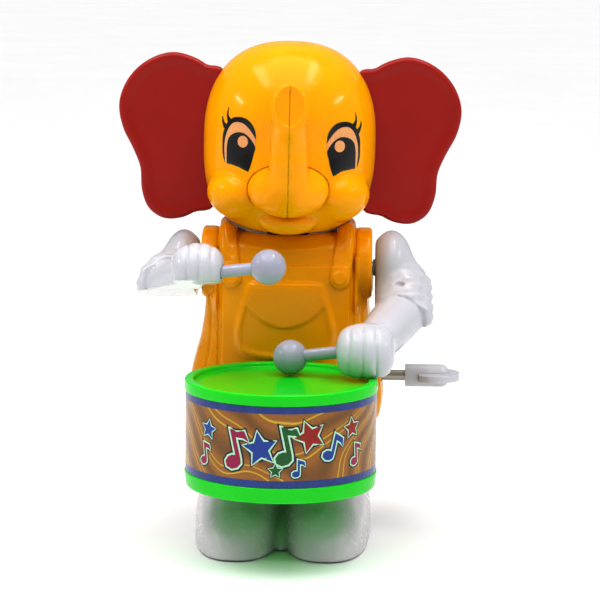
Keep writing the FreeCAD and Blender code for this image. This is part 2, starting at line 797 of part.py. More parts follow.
def gear(teeth, phase, x_low, x_high, axis, bore):
    """A spur gear along X, with one tooth centred on the angle given as phase."""
    module = size("gear_module")
    pitch = teeth * module / 2
    base = pitch * math.cos(math.radians(20))
    tip = pitch + 0.75 * module
    root = pitch - 1.2 * module
    half_tooth = 1.2 / teeth

    def spread(radius):
        slope = math.acos(min(1.0, base / radius))
        return math.tan(slope) - slope

    flank_start = max(root, base)
    radii = [flank_start + (tip - flank_start) * step / 3 for step in range(4)]
    flank = [(radius, half_tooth + spread(pitch) - spread(radius)) for radius in radii]
    if root < base:
        flank.insert(0, (root, flank[0][1]))
    points = []
    for number in range(teeth):
        middle = phase + 2 * math.pi * number / teeth
        for radius, offset in flank:
            points.append((radius, middle - offset))
        for radius, offset in reversed(flank):
            points.append((radius, middle + offset))
    corners = [Vector(x_low, r * math.cos(a), r * math.sin(a)) for r, a in points]
    blank = flat_solid(corners, x_high - x_low)
    hole = Part.makeCylinder(bore, x_high - x_low + 2, Vector(x_low - 1, 0, 0), Vector(1, 0, 0))
    return feature(blank.cut(hole), Placement(Vector(0, *axis), UPRIGHT))


def flat_solid(corners, depth):
    outline = Part.makePolygon(corners + corners[:1])
    return Part.Face(outline).extrude(Vector(depth, 0, 0))


def toothed_wheel(teeth, tip, root, x_low, x_high, axis, bore):
    """A saw-toothed wheel along X, for the ratchet and the governor's star."""
    corners = []
    for number in range(teeth):
        start = 2 * math.pi * number / teeth
        for radius, angle in ((root, start), (tip, start + 1.2 * math.pi / teeth)):
            corners.append(Vector(x_low, radius * math.cos(angle), radius * math.sin(angle)))
    hole = Part.makeCylinder(bore, x_high - x_low + 2, Vector(x_low - 1, 0, 0), Vector(1, 0, 0))
    return feature(flat_solid(corners, x_high - x_low).cut(hole), Placement(Vector(0, *axis), UPRIGHT))


def mainspring():
    """A coiled steel strip between the key arbor and the outer turn."""
    turns = 7
    inner = size("main_shaft_radius") + 0.18
    pitch = 0.92
    half_strip = 0.17
    steps = 24 * turns
    sides = []
    for offset in (-half_strip, half_strip):
        points = []
        for step in range(steps + 1):
            angle = 2 * math.pi * turns * step / steps
            radius = inner + pitch * angle / (2 * math.pi) + offset
            points.append(Vector(2.2, radius * math.cos(angle), radius * math.sin(angle)))
        curve = Part.BSplineCurve()
        curve.interpolate(points)
        sides.append(curve.toShape())
    ends = [
        Part.makeLine(sides[0].Vertexes[0].Point, sides[1].Vertexes[0].Point),
        Part.makeLine(sides[0].Vertexes[-1].Point, sides[1].Vertexes[-1].Point),
    ]
    strip = Part.Face(Part.Wire(Part.__sortEdges__([*sides, *ends])))
    return feature(strip.extrude(Vector(6.6, 0, 0)), Placement(Vector(0, *KEY_AXIS), UPRIGHT))


def motor_axes():
    second = meshed_centre(
        KEY_AXIS,
        centre_distance("great", "second_pinion"),
        CRANK_AXIS,
        centre_distance("second", "crank_pinion"),
        1,
    )
    reach = centre_distance("drive", "governor_pinion")
    governor = (
        CRANK_AXIS[0] + reach * math.cos(GOVERNOR_DIRECTION),
        CRANK_AXIS[1] + reach * math.sin(GOVERNOR_DIRECTION),
    )
    return second, governor


def build_plates(second, governor):
    thickness = size("plate_thickness")
    main = "Sheet.main_shaft_radius + Sheet.fit_gap"
    small = "Sheet.small_shaft_radius + Sheet.fit_gap"
    holes = [(KEY_AXIS, main), (CRANK_AXIS, main), (second, small), (governor, small)]
    holes.append((PALLET_AXIS, small))
    holes += [(point, 0.85) for point in PILLARS]
    plates = []
    for name, start in (("right", -size("plate_face") - thickness), ("left", size("plate_face"))):
        place = Placement(Vector(start, 0, 0), UPRIGHT)
        made = plate(PLATE_OUTLINE, "Sheet.plate_thickness", place, holes)
        plates.append(node(made, name + "_motor_plate"))
    face = size("plate_face")
    pillars = []
    screws = []
    for point in PILLARS:
        bar = cylinder_x("Sheet.pillar_radius", -face, face, point)
        tapped = cylinder_x(0.85, -face - 1, face + 1, point)
        pillars.append(cut(bar, tapped))
        for side in (-1, 1):
            start = Vector(side * (face + thickness), *point)
            screws.append(screw(start, Vector(side, 0, 0), 5.0, 0.8, 1.5, 0.8))
    node(group(*pillars), "motor_pillars")
    node(group(*screws), "motor_screws")
    return plates


def build_key(second):
    arbor_end = 30.0
    node(cylinder_x("Sheet.main_shaft_radius", -13.0, arbor_end, KEY_AXIS), "key_arbor")
    bore = size("main_shaft_radius")
    phase = heading(KEY_AXIS, second)
    node(gear(TEETH["great"], phase, -2.0, 0.0, KEY_AXIS, bore), "great_wheel")
    node(toothed_wheel(12, 5.2, 4.3, 0.3, 1.6, KEY_AXIS, bore), "ratchet_wheel")
    node(mainspring(), "mainspring")
    node(cylinder_x("Sheet.key_stem_radius", arbor_end, 46.0, KEY_AXIS), "key_stem")
    knob = cylinder_x("Sheet.key_knob_radius", 41.7, 54.5, KEY_AXIS)
    y, z = KEY_AXIS
    nose = ellipsoid(Vector(54.5, y, z), 3.0, "Sheet.key_knob_radius", "Sheet.key_knob_radius")
    wing_long = cylinder(9.0, 2.4, Vector(52.0, y, z - 1.2))
    wing_limit = box((46.5, y - 9.0, z - 1.2), (60.9, y + 9.0, z + 1.2))
    socket = cylinder_x("Sheet.key_stem_radius", 41.0, 46.0, KEY_AXIS)
    node(cut(fuse(knob, nose, common(wing_long, wing_limit)), socket), "key_handle")


def build_second(second, governor):
    bore = size("small_shaft_radius")
    node(cylinder_x("Sheet.small_shaft_radius", -12.6, 12.6, second), "second_shaft")
    teeth = TEETH["second_pinion"]
    phase = heading(second, KEY_AXIS) + math.pi / teeth
    node(gear(teeth, phase, -2.3, 0.3, second, bore), "second_pinion")
    phase = heading(second, CRANK_AXIS)
    node(gear(TEETH["second"], phase, -6.4, -4.4, second, bore), "second_wheel")
    bore = size("main_shaft_radius")
    teeth = TEETH["crank_pinion"]
    phase = heading(CRANK_AXIS, second) + math.pi / teeth
    node(gear(teeth, phase, -6.6, -4.2, CRANK_AXIS, bore), "crank_pinion")
    phase = heading(CRANK_AXIS, governor)
    node(gear(TEETH["drive"], phase, -9.6, -8.0, CRANK_AXIS, bore), "governor_drive_wheel")
    teeth = TEETH["governor_pinion"]
    phase = heading(governor, CRANK_AXIS) + math.pi / teeth
    bore = size("small_shaft_radius")
    node(gear(teeth, phase, -9.8, -7.8, governor, bore), "governor_pinion")
    node(toothed_wheel(12, 5.0, 3.7, -4.0, -2.5, governor, bore), "star_wheel")
    node(cylinder_x("Sheet.small_shaft_radius", -12.6, 12.6, governor), "governor_shaft")


def build_cranks():
    end = size("crank_disc_face") + 2.0
    node(cylinder_x("Sheet.main_shaft_radius", -end, end, CRANK_AXIS), "crank_shaft")
    for name, side in (("right", -1), ("left", 1)):
        low, high = mirrored(side, size("crank_disc_face"), end)
        disc = cylinder_x("Sheet.crank_disc_radius", low, high, CRANK_AXIS)
        bore = cylinder_x("Sheet.main_shaft_radius", low - 1, high + 1, CRANK_AXIS)
        tangent = math.sqrt((size("arm_axis_height") - CRANK_AXIS[1]) ** 2 - size("crank_radius") ** 2)
        lean = math.radians(side * LEVER_TILT)
        pin_y = tangent * math.sin(lean)
        pin_z = size("arm_axis_height") - tangent * math.cos(lean)
        low, high = mirrored(side, end - 0.5, size("crank_pin_end"))
        pin = cylinder_x("Sheet.crank_pin_radius", low, high, (pin_y, pin_z))
        node(fuse(cut(disc, bore), pin), name + "_crank_disc")
    hub = cylinder_x(2.6, 3.0, 8.0, CRANK_AXIS)
    swash = cylinder(5.0, 1.2, Vector(0, 0, 0))
    tilted = Rotation(Vector(0, 0, 1), 12.0) * ALONG_X
    swash.Placement = Placement(Vector(5.5, *CRANK_AXIS), tilted) * Placement(Vector(0, 0, -0.6), UPRIGHT)
    bore = cylinder_x("Sheet.main_shaft_radius", 0.0, 10.0, CRANK_AXIS)
    node(cut(fuse(hub, swash), bore), "head_cam")


def build_pallet():
    place = Placement(Vector(-4.0, *PALLET_AXIS), UPRIGHT)
    anchor = plate(PALLET_OUTLINE, 1.5, place, [((0, 0), "Sheet.small_shaft_radius")])
    node(anchor, "pallet_anchor")
    node(cylinder_x("Sheet.small_shaft_radius", -12.6, 12.6, PALLET_AXIS), "pallet_arbor")


# ---------------------------------------------------------------- assembly


def build_all():
    fill_sheet()
    second, governor = motor_axes()
    plates = build_plates(second, governor)
    build_key(second)
    build_second(second, governor)
    build_cranks()
    build_pallet()
    outer = build_body(plates)
    build_drum(outer)
    build_legs()
    build_head()
    build_arm("right", -1, -ARM_SWING)
    build_arm("left", 1, 0.0)
    build_lever("right", -1, -LEVER_TILT)
    build_lever("left", 1, LEVER_TILT)
    DOC.recompute()


def check_all():
    for obj in DOC.Objects:
        if "Invalid" in obj.State or "Error" in obj.State:
            raise RuntimeError(f"{obj.Label} ({obj.TypeId}) did not build: {obj.State}")
    for obj in NODES:
        if obj.Shape.isNull() or not obj.Shape.isValid() or not obj.Shape.Solids:
            raise RuntimeError(f"{obj.Label} has no valid solid")


def write_parts():
    os.makedirs("parts", exist_ok=True)
    for obj in NODES:
        obj.Shape.exportStep(f"parts/{obj.Label}.step")
        bounds = obj.Shape.BoundBox
        spans = " ".join(f"{a:.1f}..{b:.1f}" for a, b in (
            (bounds.XMin, bounds.XMax), (bounds.YMin, bounds.YMax), (bounds.ZMin, bounds.ZMax)))
        print(f"{obj.Label}: {spans} mm, {len(obj.Shape.Solids)} solid(s), {obj.Shape.Volume:.0f} mm3")


build_all()
check_all()
write_parts()
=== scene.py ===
"""Looks for a clockwork drumming elephant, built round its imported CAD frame.

Moulded forms are written as signed distance fields in millimetres and meshed; turned pieces are
lathed; prints are thin inlaid skins. Everything is placed in metres in the frame's own axes.
"""

import json
import math

import bpy
import numpy as np
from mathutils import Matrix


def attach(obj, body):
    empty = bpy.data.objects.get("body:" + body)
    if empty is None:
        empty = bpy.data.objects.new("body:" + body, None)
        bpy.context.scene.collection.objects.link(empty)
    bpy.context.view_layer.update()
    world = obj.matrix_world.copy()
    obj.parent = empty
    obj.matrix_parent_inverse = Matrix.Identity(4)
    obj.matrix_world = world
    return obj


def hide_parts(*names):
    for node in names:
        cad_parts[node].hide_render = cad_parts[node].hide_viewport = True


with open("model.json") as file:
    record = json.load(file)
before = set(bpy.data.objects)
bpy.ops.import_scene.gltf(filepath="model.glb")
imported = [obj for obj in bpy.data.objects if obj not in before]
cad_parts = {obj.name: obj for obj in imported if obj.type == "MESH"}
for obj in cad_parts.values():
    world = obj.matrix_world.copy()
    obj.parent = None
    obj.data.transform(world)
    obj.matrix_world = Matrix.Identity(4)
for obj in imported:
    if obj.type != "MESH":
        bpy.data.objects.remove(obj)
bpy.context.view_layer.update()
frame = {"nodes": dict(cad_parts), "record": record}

import openvdb
from mathutils import Matrix, Vector

MM = 0.001
COARSE = 1.0


# ---------------------------------------------------------------- distance fields (mm)


def length(*parts):
    return np.sqrt(sum(part * part for part in parts))


def join(first, second, soft):
    """Union of two fields with a fillet of about this size."""
    near = np.maximum(soft - np.abs(first - second), 0.0)
    return np.minimum(first, second) - near * near / (4.0 * soft)


def carve(solid, tool, soft=0.05):
    """The solid with the tool's space taken away."""
    return -join(-solid, tool, soft)


def keep_inside(solid, limit, soft=0.05):
    return -join(-solid, -limit, soft)


def ellipsoid(point, centre, radii):
    parts = [value - middle for value, middle in zip(point, centre)]
    near = length(*(value / radius for value, radius in zip(parts, radii)))
    slope = length(*(value / radius**2 for value, radius in zip(parts, radii)))
    return near * (near - 1.0) / np.maximum(slope, 1e-6)


def round_cone(point, start, end, start_radius, end_radius):
    along = [b - a for a, b in zip(start, end)]
    span = sum(value * value for value in along)
    offset = [value - a for value, a in zip(point, start)]
    share = sum(value * step for value, step in zip(offset, along)) / span
    share = np.clip(share, 0.0, 1.0)
    away = length(*(value - share * step for value, step in zip(offset, along)))
    return away - (start_radius + (end_radius - start_radius) * share)


def rod(point, axis, centre, radius, low, high, edge=0.6):
    """A cylinder along one axis between two planes, with rounded edges."""
    across = [value - middle for number, (value, middle) in enumerate(zip(point, centre)) if number != axis]
    radial = length(*across) - radius + edge
    middle = (low + high) / 2
    ends = np.abs(point[axis] - middle) - (high - low) / 2 + edge
    outside = length(np.maximum(radial, 0.0), np.maximum(ends, 0.0))
    return outside + np.minimum(np.maximum(radial, ends), 0.0) - edge


def smooth_step(value, low, high):
    share = np.clip((value - low) / (high - low), 0.0, 1.0)
    return share * share * (3.0 - 2.0 * share)


def spline(points, steps=6, closed=True):
    """A smooth line through a few points."""
    nodes = np.array(points, dtype=float)
    count = len(nodes)
    line = []
    spans = count if closed else count - 1
    for number in range(spans):
        if closed:
            a, b, c, d = (nodes[(number + shift) % count] for shift in (-1, 0, 1, 2))
        else:
            a, b, c, d = (nodes[min(max(number + shift, 0), count - 1)] for shift in (-1, 0, 1, 2))
        for step in range(steps):
            t = step / steps
            bend = (2 * a - 5 * b + 4 * c - d) * t**2
            twist = (3 * b - a - 3 * c + d) * t**3
            line.append(0.5 * (2 * b + (c - a) * t + bend + twist))
    if not closed:
        line.append(nodes[-1])
    return np.array(line)


def outline_distance(line, across, up):
    """Signed distance to a closed flat outline, negative inside."""
    nearest = np.full(np.broadcast(across, up).shape, 1e9)
    inside = np.zeros(nearest.shape, dtype=bool)
    for start, end in zip(line, np.roll(line, -1, axis=0)):
        step = end - start
        share = ((across - start[0]) * step[0] + (up - start[1]) * step[1]) / max(step @ step, 1e-9)
        share = np.clip(share, 0.0, 1.0)
        away = (across - start[0] - share * step[0]) ** 2 + (up - start[1] - share * step[1]) ** 2
        nearest = np.minimum(nearest, away)
        if abs(step[1]) > 1e-9:
            crosses = (start[1] > up) != (end[1] > up)
            meets = start[0] + (up - start[1]) / step[1] * step[0]
            inside ^= crosses & (across < meets)
    return np.where(inside, -1.0, 1.0) * np.sqrt(nearest)


# ---------------------------------------------------------------- meshes


def new_object(name, points, faces, material, body, angle=40.0):
    mesh = bpy.data.meshes.new(name)
    mesh.from_pydata([tuple(point) for point in points], [], [tuple(face) for face in faces])
    mesh.validate()
    mesh.materials.append(material)
    mesh.shade_smooth()
    mesh.set_sharp_from_angle(angle=math.radians(angle))
    obj = bpy.data.objects.new(name, mesh)
    bpy.context.scene.collection.objects.link(obj)
    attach(obj, body)
    return obj


def slope_of(field, points, reach=0.05):
    parts = []
    for axis in range(3):
        shift = np.zeros(3)
        shift[axis] = reach
        ahead = field(tuple((points + shift).T))
        behind = field(tuple((points - shift).T))
        parts.append((ahead - behind) / (2 * reach))
    return np.stack(parts, axis=1)


def settle(field, points, most, rounds=2):
    """Moves points onto the surface where a field is zero."""
    for _ in range(rounds):
        value = field(tuple(points.T))
        slope = slope_of(field, points)
        steepness = np.maximum((slope * slope).sum(axis=1), 0.05)
        step = np.clip(value / steepness, -most, most)
        points = points - slope * step[:, None]
    return points


def moulded(name, field, low, high, step, material, body, turn=0.0):
    """A closed mesh of the field's surface between two corners, in mm."""
    step = step * COARSE
    axes = [np.arange(a - 2 * step, b + 2 * step, step) for a, b in zip(low, high)]
    grid = (axes[0][:, None, None], axes[1][None, :, None], axes[2][None, None, :])
    values = np.broadcast_to(field(grid), [len(axis) for axis in axes]).astype(np.float32)
    volume = openvdb.FloatGrid(float(values.max()))
    volume.copyFromArray(np.ascontiguousarray(values))
    points, quads = volume.convertToQuads(isovalue=0.0)
    points = points * step + np.array([axis[0] for axis in axes])
    points = settle(field, points.astype(float), 0.4 * step)
    if signed_volume(points, quads) < 0:
        quads = quads[:, ::-1]
    return new_object(name, about_neck(points, turn) * MM, quads, material, body)


def signed_volume(points, quads):
    a, b, c, d = (points[quads[:, number]] for number in range(4))
    return (np.cross(a, b) * c).sum() + (np.cross(a, c) * d).sum()


def about_neck(points, degrees):
    """Head points turned about the upright axis, and leant a little to the figure's left."""
    if not degrees:
        return points
    turn = Matrix.Rotation(math.radians(degrees), 3, "Z") @ Matrix.Rotation(math.radians(HEAD_LEAN), 3, "Y")
    neck = np.array([0.0, 0.0, 103.6])
    return (points - neck) @ np.array(turn).T + neck


def lathed(name, profile, place, material, body, segments=96, angle=35.0):
    """A closed turned piece from an outline of (radius, height) in mm, turned about local Z."""
    points = []
    rings = []
    for radius, height in profile:
        if radius < 1e-6:
            rings.append([len(points)] * segments)
            points.append((0.0, 0.0, height))
            continue
        rings.append(list(range(len(points), len(points) + segments)))
        for number in range(segments):
            turn = 2 * math.pi * number / segments
            points.append((radius * math.cos(turn), radius * math.sin(turn), height))
    faces = []
    closed = len({profile[0], profile[-1]}) == 2 and profile[0][0] > 1e-6
    pairs = list(zip(rings, rings[1:])) + ([(rings[-1], rings[0])] if closed else [])
    for lower, upper in pairs:
        for number in range(segments):
            following = (number + 1) % segments
            corners = [lower[number], lower[following], upper[following], upper[number]]
            corners = list(dict.fromkeys(corners))
            if len(corners) > 2:
                faces.append(corners)
    placed = [place @ (Vector(point) * MM) for point in points]
    return new_object(name, placed, faces, material, body, angle)


def rounded(corners, radius, steps=5):
    """A closed outline whose corners are replaced by small arcs."""
    nodes = [np.array(corner, dtype=float) for corner in corners]
    line = []
    for number, corner in enumerate(nodes):
        before = nodes[number - 1] - corner
        after = nodes[(number + 1) % len(nodes)] - corner
        reach = min(radius, 0.45 * np.linalg.norm(before), 0.45 * np.linalg.norm(after))
        if corner[0] < 1e-6 or reach < 1e-6:
            line.append(tuple(corner))
            continue
        start = corner + before / np.linalg.norm(before) * reach
        end = corner + after / np.linalg.norm(after) * reach
        for step in range(steps + 1):
            t = step / steps
            line.append(tuple((1 - t) ** 2 * start + 2 * t * (1 - t) * corner + t**2 * end))
    return line


def filled(line, spacing):
    """A flat outline filled with triangles, inner points included."""
    from mathutils.geometry import delaunay_2d_cdt

    low, high = line.min(axis=0), line.max(axis=0)
    inner = []
    for number, across in enumerate(np.arange(low[0], high[0], spacing)):
        for up in np.arange(low[1], high[1], spacing):
            inner.append((across, up + (number % 2) * spacing / 2))
    inner = np.array(inner)
    away = outline_distance(line, inner[:, 0], inner[:, 1])
    inner = inner[away < -0.45 * spacing]
    points = [Vector(point) for point in np.vstack([line, inner])]
    edges = [(number, (number + 1) % len(line)) for number in range(len(line))]
    made = delaunay_2d_cdt(points, edges, [list(range(len(line)))], 1, 1e-5)
    return np.array([tuple(point) for point in made[0]]), [list(face) for face in made[2]]


def rim_edges(faces):
    """Edges used by one face only, in that face's own direction."""
    seen = {}
    for face in faces:
        for start, end in zip(face, face[1:] + face[:1]):
            seen[(start, end)] = True
    return [edge for edge in seen if (edge[1], edge[0]) not in seen]


def inlay(name, line, spacing, wrap, material, body, turn=0.0):
    """A thin closed skin: wrap(points, lift) puts flat points onto the surface, lifted by a height."""
    flat, faces = filled(line, spacing)
    count = len(flat)
    top = wrap(flat, 1.0)
    under = wrap(flat, 0.0)
    points = np.vstack([top, under])
    solid = [face for face in faces] + [[corner + count for corner in reversed(face)] for face in faces]
    for start, end in rim_edges(faces):
        solid.append([end, start, start + count, end + count])
    return new_object(name, about_neck(points, turn) * MM, solid, material, body, angle=60.0)


# ---------------------------------------------------------------- materials


def linear(red, green, blue):
    """Display colour parts from 0 to 255 as linear light."""
    return tuple(
        (part / 255 / 12.92) if part / 255 <= 0.04045 else ((part / 255 + 0.055) / 1.055) ** 2.4
        for part in (red, green, blue)
    )


class Shader:
    """A Principled material with a few helpers for its procedural detail."""

    def __init__(self, name, slot, **sockets):
        self.material = bpy.data.materials.new(name)
        self.material.use_nodes = True
        self.material["slot"] = slot
        self.tree = self.material.node_tree
        self.shader = self.tree.nodes["Principled BSDF"]
        for socket, value in sockets.items():
            self.shader.inputs[socket.replace("_", " ")].default_value = value

    def add(self, kind, **settings):
        made = self.tree.nodes.new("ShaderNode" + kind)
        for name, value in settings.items():
            setattr(made, name, value)
        return made

    def link(self, start, end):
        self.tree.links.new(start, end)

    def place(self):
        return self.add("TexCoord").outputs["Object"]

    def noise(self, scale, detail=3.0, roughness=0.5):
        made = self.add("TexNoise")
        made.inputs["Scale"].default_value = scale
        made.inputs["Detail"].default_value = detail
        made.inputs["Roughness"].default_value = roughness
        self.link(self.place(), made.inputs["Vector"])
        return made.outputs["Fac"]

    def ramp(self, source, stops):
        made = self.add("ValToRGB")
        points = made.color_ramp.elements
        while len(points) < len(stops):
            points.new(0.5)
        for point, (position, colour) in zip(points, stops):
            point.position = position
            point.color = (*colour, 1.0)
        self.link(source, made.inputs["Fac"])
        return made.outputs["Color"]

    def span(self, source, low, high, start=0.3, end=0.7):
        made = self.add("MapRange")
        made.inputs["From Min"].default_value = start
        made.inputs["From Max"].default_value = end
        made.inputs["To Min"].default_value = low
        made.inputs["To Max"].default_value = high
        self.link(source, made.inputs["Value"])
        return made.outputs["Result"]

    def bump(self, source, strength, distance=0.0001):
        made = self.add("Bump")
        made.inputs["Strength"].default_value = strength
        made.inputs["Distance"].default_value = distance
        self.link(source, made.inputs["Height"])
        self.link(made.outputs["Normal"], self.shader.inputs["Normal"])

    def colour(self, source):
        self.link(source, self.shader.inputs["Base Color"])

    def rough(self, source):
        self.link(source, self.shader.inputs["Roughness"])


def plastic(name, slot, base, depth, radius, scale, rough=(0.12, 0.2), strength=0.06, coat=0.0, gloss=0.3):
    """Glossy moulded plastic that lets some light in, with flow marks and faint scuffs."""
    made = Shader(name, slot, Specular_IOR_Level=gloss, Subsurface_Weight=depth, Coat_Weight=coat)
    made.shader.inputs["Coat Roughness"].default_value = 0.06
    made.shader.inputs["Subsurface Radius"].default_value = radius
    made.shader.inputs["Subsurface Scale"].default_value = scale
    flow = made.noise(55.0, 2.0)
    darker = tuple(part * 0.93 for part in base)
    made.colour(made.ramp(flow, [(0.3, darker), (0.7, base)]))
    made.rough(made.span(made.noise(420.0, 4.0, 0.6), *rough))
    made.bump(made.noise(900.0, 3.0), strength)
    return made.material


def steel(name, slot, base, rough=0.3):
    made = Shader(name, slot, Metallic=1.0)
    streak = made.add("TexNoise")
    streak.inputs["Scale"].default_value = 900.0
    mapping = made.add("Mapping")
    mapping.inputs["Scale"].default_value = (0.05, 1.0, 1.0)
    made.link(made.place(), mapping.inputs["Vector"])
    made.link(mapping.outputs["Vector"], streak.inputs["Vector"])
    darker = tuple(part * 0.72 for part in base)
    made.colour(made.ramp(streak.outputs["Fac"], [(0.35, darker), (0.65, base)]))
    made.rough(made.span(streak.outputs["Fac"], rough - 0.06, rough + 0.12))
    made.bump(streak.outputs["Fac"], 0.15)
    return made.material


def printed(name, base, slot, rough=0.32):
    """Ink laid on plastic: nearly even, with a faint grain and soft gloss."""
    made = Shader(name, slot, Specular_IOR_Level=0.45, Coat_Weight=0.15)
    grain = made.noise(1500.0, 2.0)
    darker = tuple(part * 0.88 for part in base)
    made.colour(made.ramp(grain, [(0.35, darker), (0.65, base)]))
    made.rough(made.span(grain, rough - 0.05, rough + 0.08))
    return made.material


BAND = 0.088


def label_print(name, slot, low, high):
    """The drum's wrap: gold-brown ground with thin yellow swirls, and a navy band at each edge."""
    made = Shader(name, slot, Specular_IOR_Level=0.5, Coat_Weight=0.25)
    wave = made.add("TexWave", wave_type="RINGS", rings_direction="SPHERICAL")
    wave.inputs["Scale"].default_value = 55.0
    wave.inputs["Distortion"].default_value = 9.0
    wave.inputs["Detail"].default_value = 1.0
    wave.inputs["Detail Scale"].default_value = 0.6
    made.link(made.place(), wave.inputs["Vector"])
    brown, dark = linear(148, 98, 28), linear(116, 76, 20)
    yellow = linear(206, 178, 40)
    stops = [(0.0, dark), (0.5, brown), (0.84, brown), (0.9, yellow), (0.96, brown)]
    swirls = made.ramp(wave.outputs["Fac"], stops)
    parts = made.add("SeparateXYZ")
    made.link(made.place(), parts.inputs["Vector"])
    height = made.span(parts.outputs["Z"], 0.0, 1.0, low, high)
    bands = made.ramp(made.noise(300.0), [(0.3, linear(22, 52, 116)), (0.7, linear(28, 64, 138))])
    clear, full = (0.0, 0.0, 0.0), (1.0, 1.0, 1.0)
    mask = made.ramp(height, [(0.0, full), (BAND, clear), (1.0 - BAND, full)])
    mask.node.color_ramp.interpolation = "CONSTANT"
    mix = made.add("Mix", data_type="RGBA")
    made.link(mask, mix.inputs["Factor"])
    made.link(swirls, mix.inputs["A"])
    made.link(bands, mix.inputs["B"])
    made.colour(mix.outputs["Result"])
    made.rough(made.span(made.noise(600.0), 0.22, 0.34))
    made.bump(made.noise(1400.0), 0.08)
    return made.material


YELLOW = plastic(
    "yellow_plastic", "yellow_plastic", linear(250, 172, 0), 0.45, (1.0, 0.35, 0.02), 0.004, gloss=0.18
)
# Painted shade: the body's plastic is the head's yellow with the same hue, made darker to stand in for the
# shade the body sits in below the head.
SHADED_ORANGE = plastic(
    "orange_plastic", "orange_plastic", linear(230, 158, 0), 0.45, (1.0, 0.32, 0.02), 0.004, gloss=0.18
)
RED = plastic("red_plastic", "red_plastic", linear(158, 32, 24), 0.15, (1.0, 0.1, 0.05), 0.002, (0.3, 0.4))
WHITE = plastic("white_plastic", "white_plastic", linear(198, 198, 204), 0.3, (1.0, 0.9, 0.85), 0.002)
MILKY = plastic(
    "shoe_plastic", "shoe_plastic", linear(202, 198, 202), 0.5, (1.0, 1.0, 0.95), 0.004, (0.2, 0.3)
)
# Painted shade: a darker, slightly bluer copy of the arms' white plastic for the drumsticks, standing in for
# the dimmer light on their front-facing balls.
SHADED_STICK = plastic("stick_plastic_painted_shade", "white_plastic", linear(168, 168, 182), 0.2, (1.0, 0.9, 0.85), 0.001)
GREEN = plastic(
    "green_plastic", "green_plastic", linear(30, 205, 38), 0.3, (0.25, 1.0, 0.2), 0.002, (0.14, 0.22)
)
NYLON = plastic("nylon", "nylon", linear(228, 226, 214), 0.2, (1.0, 0.95, 0.85), 0.001, (0.4, 0.55))
STEEL = steel("steel", "steel", linear(176, 172, 160))
INK_BLACK = printed("ink_black", linear(18, 14, 14), "yellow_plastic", 0.22)
INK_PEACH = printed("ink_peach", linear(228, 168, 112), "yellow_plastic")


# ---------------------------------------------------------------- head

HEAD_RADIUS = 29.8
HEAD_MIDDLE = 136.0
HEAD_RISE = 33.3
HEAD_DROP = 33.0
HEAD_FLOOR = 103.7
HEAD_GAP = 0.4
WALL = 1.7
HEAD_TURN = 1.4
HEAD_LEAN = 0.7
SEAM = 0.06
TRUNK_PATH = (
    # y, z, radius
    (-31.0, 120.6, 7.4),
    (-34.4, 124.5, 6.6),
    (-36.2, 131.0, 6.15),
    (-36.9, 138.0, 6.0),
    (-39.6, 143.0, 6.05),
    (-52.0, 154.6, 6.15),
)
TRUNK_END = -46.6
EAR_OUTLINE = (
    (22.0, 155.0),
    (29.4, 160.7),
    (34.4, 163.3),
    (40.4, 164.6),
    (46.4, 163.3),
    (52.4, 159.6),
    (57.0, 153.8),
    (59.2, 146.4),
    (57.8, 138.4),
    (54.2, 131.2),
    (51.6, 124.6),
    (51.0, 117.0),
    (48.7, 110.8),
    (44.0, 107.3),
    (38.4, 107.1),
    (32.8, 109.3),
    (24.0, 115.5),
)
HEAD_SCREWS = ((-17.0, 120.0, 18.0), (17.0, 120.0, 18.0), (0.0, 157.0, 20.0))


def head_ball(point):
    """The head without its face: round in plan, squarer than a ball from the front."""
    x, y, z = point
    rise = z - HEAD_MIDDLE
    upper = rise > 0
    power = np.where(upper, 2.38, 2.95)
    tall = np.where(upper, HEAD_RISE, HEAD_DROP)
    around = length(x, y) / HEAD_RADIUS
    return ((around**power + (np.abs(rise) / tall) ** power) ** (1 / power) - 1.0) * 29.0


def trunk_form(point):
    y = point[1]
    path = [((0.0, a[0], a[1]), (0.0, b[0], b[1]), a[2], b[2]) for a, b in zip(TRUNK_PATH, TRUNK_PATH[1:])]
    tube = round_cone(point, *path[0])
    for piece in path[1:]:
        tube = join(tube, round_cone(point, *piece), 1.5)
    rim = np.exp(-(((tube + 1.2) / 0.5) ** 2)) * smooth_step(-y, 45.4, 46.4)
    tube = keep_inside(tube, TRUNK_END - y, 0.5) - 0.6 * rim
    muzzle = ellipsoid(point, (0.0, -25.5, 120.6), (13.8, 13.2, 9.2))
    muzzle = join(muzzle, ellipsoid(point, (0.0, -27.5, 118.0), (11.5, 10.2, 5.9)), 2.0)
    form = join(muzzle, tube, 3.0)
    for side in (-1, 1):
        form = carve(form, ellipsoid(point, (side * 8.4, -40.2, 124.8), (1.6, 3.0, 2.4)), 2.2)
    return form


def ear_form(point, side):
    x, y, z = point
    line = spline([(side * across, up) for across, up in EAR_OUTLINE], 5)
    flat = outline_distance(line, x, z)
    dish = 0.55 * smooth_step(-flat, 1.4, 5.0)
    edge = 1.5
    radial = flat + edge
    ends = np.abs(y) - (2.2 - dish) + edge
    outside = length(np.maximum(radial, 0.0), np.maximum(ends, 0.0))
    return outside + np.minimum(np.maximum(radial, ends), 0.0) - edge


def face_form(point):
    """The head with cheeks, mouth and lower lip, before anything is let into it."""
    form = head_ball(point)
    for side in (-1, 1):
        form = join(form, ellipsoid(point, (side * 15.8, -13.4, 118.4), (12.0, 13.4, 9.6)), 1.6)
        form = carve(form, ellipsoid(point, (side * 17.5, -30.8, 134.8), (9.5, 4.6, 9.5)), 5.0)
    form = join(form, ellipsoid(point, (0.0, -18.4, 109.2), (10.2, 9.4, 4.8)), 1.2)
    form = carve(form, ellipsoid(point, (0.0, -30.8, 114.2), (12.6, 6.2, 4.6)), 0.8)
    return keep_inside(form, HEAD_FLOOR - point[2], 1.2)


